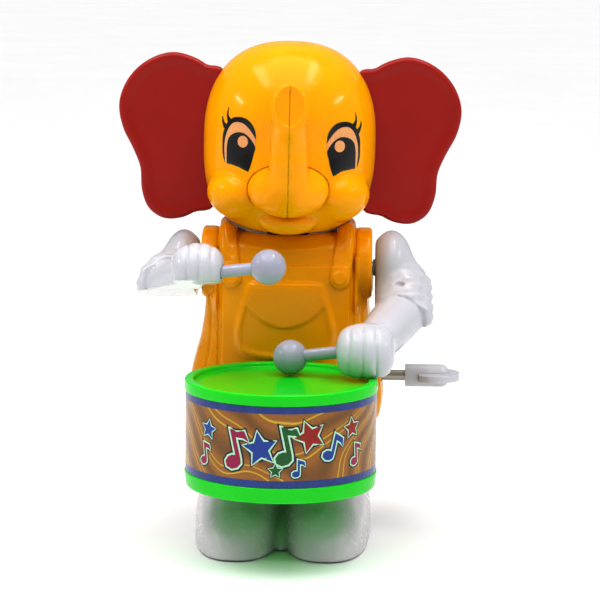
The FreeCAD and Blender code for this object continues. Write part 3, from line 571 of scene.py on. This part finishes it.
def head_shell(point, half):
    """One hollow half of the head: -1 is the face, +1 the back."""
    face = face_form(point)
    y = point[1]
    shell = carve(face, face + WALL, 0.05)
    seat = keep_inside(trunk_form(point) - 0.06, -(head_ball(point) + 1.3))
    shell = carve(shell, seat)
    for side in (-1, 1):
        slot = keep_inside(ear_form(point, side) - 0.12, -(head_ball(point) + 1.3))
        shell = carve(shell, slot)
    shell = carve(shell, rod(point, 2, (0.0, 0.0, 0.0), 6.1, 100.0, 112.0, 0.1))
    if half > 0:
        for across, up, depth in HEAD_SCREWS:
            collar = rod(point, 1, (across, 0.0, up), 3.9, depth - 4.0, 30.0, 0.1)
            shell = np.minimum(shell, keep_inside(collar, face))
            shell = carve(shell, rod(point, 1, (across, 0.0, up), 2.6, depth, 40.0, 0.1), 0.3)
    return keep_inside(shell, SEAM - half * y)


def trunk_half(point, side):
    form = keep_inside(trunk_form(point), -(head_ball(point) + 1.2))
    gap = 0.004 + 0.016 * smooth_step(-point[2], -128.0, -122.0)
    return keep_inside(form, gap - side * point[0], 0.02)


def ear(point, side):
    return keep_inside(ear_form(point, side), -(head_ball(point) + 1.2))


def build_head():
    reach = HEAD_RADIUS + 3
    for name, half in (("head_front_shell", -1), ("head_back_shell", 1)):
        low, high = sorted((half * 0.5, half * reach))
        made = moulded(
            "visual_" + name,
            lambda point, half=half: head_shell(point, half),
            (-reach, low - 0.5, 103.0),
            (reach, high + 0.5, 170.5),
            0.6,
            YELLOW,
            "head",
            HEAD_TURN,
        )
        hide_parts(name)
    for name, side in (("right", -1), ("left", 1)):
        low, high = sorted((side * 24.0, side * 60.5))
        made = moulded(
            f"visual_{name}_ear",
            lambda point, side=side: ear(point, side),
            (low, -3.0, 106.0),
            (high, 3.0, 167.0),
            0.5,
            RED,
            "head",
            HEAD_TURN,
        )
        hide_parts(name + "_ear")
        low, high = sorted((0.0, side * 14.5))
        made = moulded(
            f"visual_{name}_trunk_half",
            lambda point, side=side: trunk_half(point, side),
            (low - 0.5, -48.5, 110.5),
            (high + 0.5, -20.0, 159.0),
            0.4,
            YELLOW,
            "head",
            HEAD_TURN,
        )
        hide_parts(name + "_trunk_half")


# ---------------------------------------------------------------- eyes

EYE_ACROSS = 17.4
EYE_HEIGHT = 135.1
EYE_SHIFT = (0.7, -0.45)
LID_OUTER = (
    (5.0, -6.6), (5.75, -3.6), (5.85, -0.2), (5.7, 3.1), (4.5, 6.5), (3.0, 8.2),
    (1.5, 8.9), (-0.3, 9.0), (-2.0, 8.6), (-3.6, 7.4), (-4.7, 5.8), (-5.3, 4.0),
    (-5.45, 1.9),
)
LID_INNER = (
    (-4.6, 3.3), (-3.2, 5.2), (-1.4, 6.8), (0.7, 7.35), (2.5, 6.8), (3.8, 5.2),
    (4.7, 2.8), (5.15, 0.5), (5.25, -2.3), (5.1, -4.6),
)
PUPIL = (
    (4.3, -6.9), (4.35, -3.7), (4.3, -1.0), (3.8, 1.6), (2.4, 3.2), (0.3, 3.9),
    (-1.7, 3.5), (-3.6, 1.9), (-5.25, -0.8), (-4.8, -3.2), (-4.1, -6.3), (-3.1, -9.2),
)
WHITE_FOOT = (
    (4.7, -7.0), (2.0, -5.0), (-3.0, -2.0), (-5.3, -0.5), (-5.4, 1.8),
)
GLINT = (-1.1, 0.8, 1.75, 2.0)
LASHES = (
    ((6.0, 8.9), (6.15, 8.1), (6.05, 6.7), (5.4, 4.9), (4.7, 6.0), (5.6, 7.3)),
    ((3.9, 12.1), (4.4, 10.5), (4.5, 9.0), (4.1, 7.0), (3.0, 7.7), (3.95, 9.2), (4.05, 10.6)),
)


def on_face(points, lift, layer):
    """Flat (x, z) points dropped back onto the face along Y."""
    depth = np.full(len(points), -40.0)
    for _ in range(40):
        value = face_form((points[:, 0], depth, points[:, 1]))
        depth = depth + np.maximum(value, -0.5) * 0.9
    put = np.stack([points[:, 0], depth, points[:, 1]], axis=1)
    slope = slope_of(face_form, put)
    slope /= np.linalg.norm(slope, axis=1)[:, None]
    return put + slope * (lift * 0.05 * (layer + 1) - 0.12 * (1.0 - lift))


def build_eyes():
    turns = np.linspace(0, 2 * math.pi, 32, endpoint=False)
    across, up, wide, tall = GLINT
    shapes = [
        ("white", np.vstack([spline(LID_INNER, 5, False), np.array(WHITE_FOOT)]), INK_PEACH, 0),
        ("lid", np.vstack([spline(LID_OUTER, 5, False), spline(LID_INNER, 5, False)]), INK_BLACK, 1),
        ("pupil", spline(PUPIL, 5, False), INK_BLACK, 1),
        ("glint", np.stack([across + wide * np.cos(turns), up + tall * np.sin(turns)], axis=1), INK_PEACH, 2),
    ]
    shapes += [(f"lash_{number}", spline(lash, 5), INK_BLACK, 1) for number, lash in enumerate(LASHES)]
    for name, side in (("right", -1), ("left", 1)):
        centre = np.array([side * EYE_ACROSS + EYE_SHIFT[0], EYE_HEIGHT + side * EYE_SHIFT[1]])
        for part, line, ink, layer in shapes:
            inlay(
                f"{name}_eye_{part}",
                centre + line[::side] * np.array([side, 1.0]),
                0.8,
                lambda flat, lift, layer=layer: on_face(flat, lift, layer),
                ink,
                "head",
                HEAD_TURN,
            )


# ---------------------------------------------------------------- body

BODY_PROFILE = (
    # height, half width
    (33.0, 26.0),
    (35.5, 30.6),
    (40.0, 33.2),
    (46.0, 33.8),
    (54.0, 33.2),
    (60.0, 31.7),
    (66.0, 30.0),
    (73.0, 28.9),
    (82.0, 28.0),
    (90.0, 27.0),
    (97.0, 24.5),
    (101.5, 20.5),
    (105.0, 14.0),
)
BODY_FLOOR = 34.1
BODY_DEPTH = 19.9
ARM_AXIS = 91.0
BOSS_HEIGHT = 92.5
SHELL_SCREWS = ((-24.0, 43.0, 10.0), (24.0, 43.0, 10.0), (-12.0, 96.0, 13.5), (12.0, 96.0, 13.5))
POCKET = (
    (-11.0, 87.9), (0.0, 88.1), (11.0, 87.9), (13.2, 86.2), (14.2, 83.2), (15.4, 79.4),
    (16.6, 74.4), (17.1, 69.8), (16.2, 65.2), (13.2, 62.8), (7.4, 61.7), (0.0, 61.3),
    (-7.4, 61.7), (-13.2, 62.8), (-16.2, 65.2), (-17.1, 69.8), (-16.6, 74.4), (-15.4, 79.4),
    (-14.2, 83.2), (-13.2, 86.2),
)
FLAP = (
    (-20.0, 84.0), (-13.0, 92.0), (13.0, 92.0), (20.0, 84.0), (14.6, 81.2), (11.7, 78.0),
    (7.8, 74.8), (3.8, 73.0), (0.0, 72.5), (-3.8, 73.0), (-7.8, 74.8), (-11.7, 78.0),
    (-14.6, 81.2),
)
SIDE_SEAM = (
    (26.9, 84.0), (26.0, 76.0), (25.8, 68.0), (26.7, 61.0), (28.6, 52.0),
)


def half_width(height):
    heights, widths = np.array(BODY_PROFILE).T
    return np.interp(height, heights, widths)


def smooth_profile():
    """The body's half width as an even table of heights, softened so that no step shows."""
    heights = np.arange(30.0, 110.0, 0.25)
    widths = half_width(heights)
    weights = np.hanning(25)
    padded = np.pad(widths, 12, mode="edge")
    return heights, np.convolve(padded, weights / weights.sum(), mode="valid")


PROFILE_HEIGHTS, PROFILE_WIDTHS = smooth_profile()


def torso(point):
    x, y, z = point
    wide = np.interp(z, PROFILE_HEIGHTS, PROFILE_WIDTHS)
    deep = BODY_DEPTH * np.clip(wide / 27.0, 0.0, 1.0) ** 0.8
    power = 2.35
    near = ((np.abs(x) / wide) ** power + (np.abs(y - 0.4) / deep) ** power) ** (1 / power)
    form = (near - 1.0) * deep
    return keep_inside(keep_inside(form, BODY_FLOOR - z, 1.5), z - 104.2, 2.0)


def strap_distance(x, z, foot):
    """Flat distance to a shoulder strap, which leans out upwards and is round at its lower end."""
    middle = 18.9 + 0.12 * (z - 90.0)
    half = 3.6 - 0.03 * (z - 90.0)
    end = length(np.abs(x) - 18.8, z - foot) - 3.6
    return np.where(z > foot, np.abs(np.abs(x) - middle) - half, end)


def raised(distance, height, edge=0.35):
    return height * smooth_step(-distance, -edge, edge)


def seam_distance(x, z):
    line = np.array(SIDE_SEAM)
    return np.abs(np.abs(x) - np.interp(z, line[::-1, 1], line[::-1, 0]))


def body_form(point):
    x, y, z = point
    form = torso(point)
    for side in (-1, 1):
        form = join(form, ellipsoid(point, (side * 20.2, 1.5, 96.5), (5.0, 13.0, 11.6)), 2.5)
        low, high = sorted((side * 23.8, side * 29.5))
        form = join(form, rod(point, 0, (0.0, 0.0, BOSS_HEIGHT), 12.4, low, high, 1.3), 0.6)
    front = smooth_step(-y, 2.0, 6.0)
    back = smooth_step(y, 2.0, 6.0)
    inner = np.abs(x) < 23.6
    line = spline(POCKET, 4)
    pocket = outline_distance(line, x, z)
    flap = np.maximum(outline_distance(spline(FLAP, 4), x, z), pocket + 1.9)
    bib = raised(np.maximum(z - 93.7, np.abs(x) - 22.0), 0.7) * inner
    below = raised(z - 82.0, 0.35, 1.0) * (1 - inner)
    strap = raised(strap_distance(x, z, 89.3), 1.0, 0.45) * inner
    patch = raised(pocket, 1.35, 0.9) + raised(pocket + 2.0, -0.5, 0.7) + raised(flap, 0.6, 0.3)
    from_button = length(np.abs(x) - 18.6, z - 89.5)
    button = sum(raised(from_button - ring, rise, 0.3) for ring, rise in ((2.3, 0.5), (1.5, -0.2)))
    collar = 0.5 * np.exp(-(((z - 99.0 - 0.006 * x * x) / 1.0) ** 2)) * (np.abs(x) < 16.5)
    seam = -0.35 * np.exp(-((seam_distance(x, z) / 0.5) ** 2))
    seam = seam * smooth_step(-z, -84.0, -80.0) * smooth_step(z, 50.0, 56.0)
    armhole = 0.7 * smooth_step(24.9 - np.abs(x), -0.4, 0.4) * (z < 96.0)
    armhole = armhole * (1 - inner) * smooth_step(z, 76.0, 79.0)
    back_straps = raised(strap_distance(x, z, 84.0), 0.9, 0.45) * inner + raised(z - 88.0, 0.6)
    on_front = bib + below + strap + patch + button + collar + seam + armhole
    relief = front * on_front + back * (back_straps + seam)
    return carve(form - relief, head_ball(point) - HEAD_GAP, 0.3)


def body_shell(point, half):
    y = point[1]
    form = body_form(point)
    shell = carve(form, torso(point) + 2.4)
    for across, up, depth in SHELL_SCREWS:
        if half > 0:
            collar = rod(point, 1, (across, 0.0, up), 3.9, depth - 4.0, 24.0, 0.1)
            shell = np.minimum(shell, keep_inside(collar, form))
            shell = carve(shell, rod(point, 1, (across, 0.0, up), 2.6, depth, 40.0, 0.1), 0.3)
    shell = carve(shell, rod(point, 0, (0.0, 0.0, ARM_AXIS), 4.25, -32.0, 32.0, 0.1))
    shell = carve(shell, rod(point, 2, (0.0, 0.0, 0.0), 7.1, 99.0, 112.0, 0.1))
    shell = carve(shell, rod(point, 0, (0.0, 3.0, 52.4), 2.5, 24.0, 40.0, 0.1), 0.3)
    return keep_inside(shell, SEAM - half * y)


def build_body():
    for name, half in (("body_front_shell", -1), ("body_back_shell", 1)):
        low, high = sorted((0.0, half * 24.0))
        made = moulded(
            "visual_" + name,
            lambda point, half=half: body_shell(point, half),
            (-35.0, low - 0.5, 33.0),
            (35.0, high + 0.5, 109.0),
            0.55,
            SHADED_ORANGE,
            "figure",
        )
        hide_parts(name)


# ---------------------------------------------------------------- legs and shoes


def shoe_form(point, side):
    x, y, z = point
    across = np.abs(x - side * 15.0)
    plan = (across / 14.8) ** 2.5 + (np.abs(y + 20.0) / 40.0) ** 2.5
    sole = (plan + (np.abs(z) / 17.5) ** 2.6) ** (1 / 2.55)
    form = (sole - 1.0) * 14.5
    instep = ellipsoid(point, (side * 14.6, -13.0, 12.0), (13.6, 26.0, 17.5))
    ankle = ((across / 12.6) ** 2.3 + (np.abs(y - 1.0) / 15.0) ** 2.3) ** (1 / 2.3)
    leg = np.maximum(ankle - 1.0, -1.0) * 12.6
    leg = keep_inside(leg, np.maximum(z - 33.9, 8.0 - z), 0.6)
    return join(join(form, instep, 7.0), leg, 5.0)


def shoes(point):
    z = point[2]
    pair = join(shoe_form(point, -1), shoe_form(point, 1), 2.6)
    web = ellipsoid(point, (0.0, -18.0, 0.0), (5.0, 27.0, 10.0))
    pair = join(pair, web, 1.5)
    pair = keep_inside(pair, 0.15 - z, 1.2)
    hollow = keep_inside(pair + 2.0, z - 30.0)
    pair = carve(pair, hollow)
    recess = keep_inside(np.minimum(shoe_form(point, -1), shoe_form(point, 1)) + 1.9, z - 1.7)
    return carve(pair, recess)


def build_shoes():
    low, high = (-31.0, -61.5, -0.5), (31.0, 21.5, 34.5)
    made = moulded("visual_legs_and_shoes", shoes, low, high, 0.65, MILKY, "figure")
    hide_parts("right_leg_and_shoe", "left_leg_and_shoe")


# ---------------------------------------------------------------- arms

HANDS = {"right": (27.9, -44.4, 68.4, 0.88), "left": (27.6, -46.5, 69.6, 1.0)}
GRIPS = {"right": (27.6, -43.8, 66.2), "left": (27.6, -46.5, 70.0)}
BALLS = {"right": (4.4, -50.47, 65.83), "left": (2.5, -39.0, 65.67)}
ARM_TURN = {"right": -34.0, "left": 0.0}


def hand_form(point, hand):
    """A closed fist whose fingers are marked by shallow grooves."""
    x, y = point[:2]
    across, depth, up, share = hand
    fist = ellipsoid(point, (across, depth, up), (9.7 * share, 9.4 * share, 9.0 * share))
    low, high = across - 8.3 * share, across + 8.3 * share
    palm = rod(point, 0, (0.0, depth + 0.5, up - 1.0), 8.0 * share, low, high, 3.4)
    form = join(fist, palm, 3.0)
    for number in range(3):
        groove = across + share * (4.4 * number - 5.2)
        form = form + 0.5 * np.exp(-(((x - groove) / 0.6) ** 2)) * smooth_step(-y, 1.0 - depth, 5.0 - depth)
    return form


def arm_form(point, hand):
    """An arm with its stick on the drum, drawn on the figure's left."""
    x, y, z = point
    across, depth, up, share = hand
    shoulder = ellipsoid(point, (36.3, 0.5, 92.0), (6.6, 11.0, 11.9))
    upper = round_cone(point, (36.0, 0.5, 95.0), (40.0, -3.0, 83.5), 6.6, 9.9)
    elbow = round_cone(point, (40.0, -3.0, 83.5), (40.4, -13.0, 76.5), 9.9, 10.4)
    sleeve = join(join(shoulder, upper, 3.0), elbow, 2.0)
    wrinkles = np.sin(0.95 * (0.75 * z + 0.9 * y - 0.35 * x)) + 0.5 * np.sin(1.3 * z - 0.7 * y + 1.0)
    sleeve = sleeve + 0.35 * wrinkles * smooth_step(-z, -96.0, -86.0) * smooth_step(x, 33.0, 38.0)
    opening = -0.22 * (x - 39.5) - 0.9 * (y + 17.0) - 0.36 * (z - 76.5)
    sleeve = keep_inside(sleeve, opening, 0.5)
    sleeve = carve(sleeve, ellipsoid(point, (38.8, -14.8, 87.4), (1.9, 1.5, 1.1)), 0.8)
    forearm = round_cone(point, (40.2, -11.0, 76.8), (across + 3.4, depth + 8.0, up + 1.3), 9.5, 7.0 * share)
    limb = join(sleeve, forearm, 0.25)
    limb = join(limb, hand_form(point, hand), 2.2)
    flank = np.maximum(x - 30.6, -(y + 21.5))
    limb = carve(limb, flank, 0.7)
    underside = 0.94 * (77.3 - z) + 0.342 * (y + 5.2)
    limb = keep_inside(limb, underside, 0.6)
    hollow = keep_inside(np.maximum(limb, underside) + 1.7, -underside - 9.0)
    limb = carve(limb, keep_inside(hollow, -(y + 8.0)), 0.4)
    limb = join(limb, rod(point, 0, (0.0, 0.0, ARM_AXIS), 2.8, 29.8, 34.0, 0.2), 0.4)
    return carve(limb, rod(point, 0, (0.0, 0.0, ARM_AXIS), 2.02, 20.0, 37.9, 0.1))


def build_arms():
    pivot = Matrix.Translation((0.0, 0.0, ARM_AXIS * MM))
    for name, side in (("right", -1), ("left", 1)):
        body = name + "_drumming_arm"
        swing = pivot @ Matrix.Rotation(math.radians(ARM_TURN[name]), 4, "X") @ pivot.inverted()
        mirror = Vector((side, 1.0, 1.0))
        fist = Vector(GRIPS[name]) * mirror
        ball = Vector(BALLS[name]) * mirror
        heading = (ball - fist).normalized()
        bore_start = tuple(fist)
        bore_end = tuple(ball)

        def field(point, side=side, hand=HANDS[name], start=bore_start, end=bore_end):
            left = (side * point[0], point[1], point[2])
            limb = arm_form(left, hand)
            grip = round_cone(point, start, end, 3.6, 3.6)
            limb = np.minimum(limb, keep_inside(grip, hand_form(left, hand) + 0.4))
            return carve(limb, round_cone(point, start, end, 2.15, 2.15))

        low, high = sorted((side * 17.5, side * 51.5))
        made = moulded(f"visual_{name}_arm", field, (low, -57.0, 59.5), (high, 12.5, 104.0), 0.5, WHITE, body)
        transform_mesh(made, swing)
        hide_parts(name + "_arm")
        reach = (ball - fist).length
        profile = stick_profile(reach)
        place = Matrix.Translation(fist * MM) @ heading.to_track_quat("Z", "Y").to_matrix().to_4x4()
        stick = lathed(f"visual_{name}_drumstick", profile, swing @ place, SHADED_STICK, body, 72)
        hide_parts(name + "_drumstick")


def transform_mesh(obj, matrix):
    obj.data.transform(matrix)
    obj.data.update()


def stick_profile(reach):
    """From the fist outwards: a slightly tapered rod, a small fillet and the ball."""
    ball = 5.85
    neck = 2.05
    profile = [(0.0, 0.4), (1.6, 0.4), (2.1, 0.9)]
    start = math.asin(neck / ball)
    profile.append((neck, reach - ball * math.cos(start) - 0.5))
    steps = 30
    for number in range(steps + 1):
        turn = start + (math.pi - start) * number / steps
        radius = max(ball * math.sin(turn), 0.0) if number < steps else 0.0
        profile.append((radius, reach - ball * math.cos(turn)))
    return profile


# ---------------------------------------------------------------- drum

DRUM_Y = -52.2
LABEL_RADIUS = 31.6
LABEL_LOW = 30.9
LABEL_HIGH = 57.3


def build_drum():
    place = Matrix.Translation((0.0, DRUM_Y * MM, 0.0))
    top = rounded(
        [
            (0.0, 57.5),
            (29.6, 57.5),
            (29.6, 57.35),
            (32.0, 57.35),
            (31.9, 61.1),
            (29.0, 61.1),
            (28.6, 59.5),
            (0.0, 59.5),
        ],
        0.6,
    )
    made = lathed("visual_drum_top_cap", tuple(top), place, GREEN, "figure", 160)
    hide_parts("drum_top_cap")
    bottom = rounded(
        [(0.0, 25.6), (31.4, 25.6), (32.0, 30.8), (29.4, 30.8), (28.9, 27.3), (0.0, 27.3)],
        0.7,
    )
    made = lathed("visual_drum_bottom_cap", tuple(bottom), place, GREEN, "figure", 160)
    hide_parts("drum_bottom_cap")
    label = label_print("label_print", "label_print", LABEL_LOW * MM, LABEL_HIGH * MM)
    wrap = [(31.32, LABEL_LOW), (LABEL_RADIUS, LABEL_LOW), (LABEL_RADIUS, LABEL_HIGH), (31.32, LABEL_HIGH)]
    made = lathed("visual_drum_label", tuple(wrap), place, label, "figure", 160)
    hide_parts("drum_label")


NOTE = ((0.0, -2.0), (-0.9, -1.8), (-2.0, -2.0), (-3.0, -2.9), (-3.0, -4.2), (-1.8, -5.1), (-0.2, -5.0),
        (0.9, -4.2), (1.1, -3.0), (1.1, 2.2), (3.0, 1.6), (4.2, 0.4), (3.6, 3.2), (0.0, 4.4))
MOTIFS = (
    # shape, place round the drum, height, scale, tilt in degrees, ink
    ("note", -14.6, 43.6, 1.35, 14.0, "magenta"),
    ("star", -5.6, 43.6, 1.25, 10.0, "blue"),
    ("note", 2.4, 45.2, 1.3, 12.0, "green"),
    ("star", 10.6, 47.6, 1.15, 22.0, "red"),
    ("star", -0.6, 36.6, 0.5, 0.0, "green"),
    ("note", 6.6, 37.6, 0.6, 0.0, "blue"),
    ("note", 18.6, 44.0, 0.95, -14.0, "blue"),
    ("star", 26.6, 49.0, 0.75, 6.0, "red"),
    ("note", 28.4, 40.4, 0.75, 4.0, "magenta"),
    ("star", -25.0, 48.0, 0.7, -8.0, "blue"),
    ("note", -27.0, 40.2, 0.75, 8.0, "magenta"),
)


def star():
    turns = math.pi / 2 + np.arange(10) * math.pi / 5
    reach = np.where(np.arange(10) % 2 == 0, 4.6, 2.1)
    return np.stack([reach * np.cos(turns), reach * np.sin(turns)], axis=1)


def grown(line, distance):
    """A closed outline, drawn anticlockwise, moved outwards by a distance."""
    if not distance:
        return line
    step = np.roll(line, -1, axis=0) - line
    out = np.stack([step[:, 1], -step[:, 0]], axis=1) / np.linalg.norm(step, axis=1)[:, None]
    both = out + np.roll(out, 1, axis=0)
    return line + both * distance / np.maximum((both * both).sum(axis=1) / 2, 0.7)[:, None]


def round_drum(flat, lift, layer):
    """Flat (distance round the drum, height) points on the label's surface."""
    radius = LABEL_RADIUS + 0.035 * (layer + 1) * lift - 0.15 * (1.0 - lift)
    turn = flat[:, 0] / LABEL_RADIUS
    return np.stack([radius * np.sin(turn), DRUM_Y - radius * np.cos(turn), flat[:, 1]], axis=1)


def build_graphics():
    inks = {
        name: printed(f"label_{name}", linear(*colour), "label_print")
        for name, colour in (
            ("magenta", (150, 24, 78)),
            ("blue", (34, 70, 150)),
            ("green", (28, 96, 44)),
            ("red", (150, 34, 24)),
            ("pale", (186, 224, 192)),
            ("navy", (20, 26, 62)),
        )
    }
    outlines = {"note": np.array(NOTE)[::-1], "star": star()}
    for number, (shape, across, up, scale, tilt, ink) in enumerate(MOTIFS):
        lean = math.radians(tilt)
        turn = np.array([[math.cos(lean), math.sin(lean)], [-math.sin(lean), math.cos(lean)]])
        line = outlines[shape] * scale @ turn + np.array([across, up])
        area = np.cross(line, np.roll(line, -1, axis=0)).sum()
        line = line if area > 0 else line[::-1]
        for layer, (colour, margin) in enumerate((("navy", 1.0), ("pale", 0.55), (ink, 0.0))):
            inlay(
                f"label_{shape}_{number}_{colour}",
                grown(line, margin * scale**0.5),
                1.2,
                lambda flat, lift, layer=layer: round_drum(flat, lift, layer),
                inks[colour],
                "figure",
            )


def build_key():
    handle = frame["nodes"]["key_handle"]
    edge = handle.modifiers.new("edge", "BEVEL")
    edge.width = 0.0005
    edge.segments = 3
    edge.limit_method = "ANGLE"


# ---------------------------------------------------------------- CAD pieces that stay


def dress_cad():
    slots = {entry["node"]: entry["material_slot"] for entry in frame["record"]["subparts"]}
    by_slot = {made["slot"]: made for made in (YELLOW, SHADED_ORANGE, RED, WHITE, MILKY, GREEN, NYLON, STEEL)}
    for name, node in frame["nodes"].items():
        made = by_slot.get(slots[name])
        if made is None:
            continue
        for number in range(len(node.data.materials)):
            node.data.materials[number] = made


# ---------------------------------------------------------------- stage


STRIPS = (
    # ends of the narrow lamps over the toy, in metres
    ((-0.50, 0.19, 0.89), (-0.45, -0.48, 0.79)),
    ((-0.44, 0.16, 0.93), (-0.37, -0.50, 0.83)),
    ((0.29, 0.26, 0.97), (0.31, -0.45, 0.89)),
    ((0.36, 0.18, 0.97), (0.37, -0.43, 0.87)),
    ((-0.83, -0.04, 0.51), (-0.80, -0.30, 0.46)),
    ((0.79, -0.31, 0.50), (0.83, -0.05, 0.53)),
)


def strip_light(name, start, end):
    start, end = Vector(start), Vector(end)
    data = bpy.data.lights.new(name, "AREA")
    data.shape = "RECTANGLE"
    data.size = (end - start).length
    data.size_y = 0.008
    data.energy = 0.9
    middle = (start + end) / 2
    across = (end - start).normalized()
    facing = (middle - Vector((0.0, 0.0, 0.12))).normalized()
    side = facing.cross(across).normalized()
    facing = across.cross(side)
    obj = bpy.data.objects.new(name, data)
    obj.matrix_world = Matrix.Translation(middle) @ Matrix((across, side, facing)).transposed().to_4x4()
    bpy.context.scene.collection.objects.link(obj)


def build_stage():
    floor = bpy.data.meshes.new("floor")
    reach = 12.0
    corners = [(-reach, -reach, 0), (reach, -reach, 0), (reach, reach, 0), (-reach, reach, 0)]
    floor.from_pydata(corners, [], [(0, 1, 2, 3)])
    made = Shader("floor", "floor", Specular_IOR_Level=0.25)
    made.colour(made.ramp(made.noise(6.0), [(0.3, (0.88, 0.88, 0.88)), (0.7, (0.91, 0.91, 0.91))]))
    made.rough(made.span(made.noise(40.0), 0.32, 0.4))
    floor.materials.append(made.material)
    plane = bpy.data.objects.new("floor", floor)
    bpy.context.scene.collection.objects.link(plane)
    world = bpy.data.worlds.new("studio")
    world.use_nodes = True
    world.node_tree.nodes["Background"].inputs["Color"].default_value = (1.0, 1.0, 1.0, 1.0)
    world.node_tree.nodes["Background"].inputs["Strength"].default_value = 0.5
    bpy.context.scene.world = world
    sun = bpy.data.lights.new("overhead", "SUN")
    sun.energy = 2.6
    sun.angle = math.radians(70)
    sun.specular_factor = 0.25
    overhead = bpy.data.objects.new("overhead", sun)
    overhead.rotation_euler = (math.radians(14), 0.0, 0.0)
    bpy.context.scene.collection.objects.link(overhead)
    for number, (start, end) in enumerate(STRIPS):
        strip_light(f"strip_{number}", start, end)
    bpy.context.scene.view_settings.view_transform = "Standard"
    bpy.context.scene.view_settings.gamma = 0.76


def build_camera():
    data = bpy.data.cameras.new("camera")
    data.sensor_width = 36.0
    data.lens = 147.4
    data.clip_start = 0.05
    camera = bpy.data.objects.new("camera", data)
    yaw = math.radians(1.8)
    reach, height = 0.850, 0.209
    camera.location = (reach * math.sin(yaw), -reach * math.cos(yaw), height)
    pitch = math.radians(8.69)
    pan = math.radians(-0.305)
    roll = math.radians(0.6)
    heading = Matrix.Rotation(yaw + pan, 4, "Z") @ Matrix.Rotation(math.radians(90) - pitch, 4, "X")
    camera.matrix_world = Matrix.Translation(camera.location) @ heading @ Matrix.Rotation(roll, 4, "Z")
    bpy.context.scene.collection.objects.link(camera)
    bpy.context.scene.camera = camera


build_camera()
build_stage()
dress_cad()
build_head()
build_eyes()
build_body()
build_shoes()
build_arms()
build_drum()
build_graphics()
build_key()
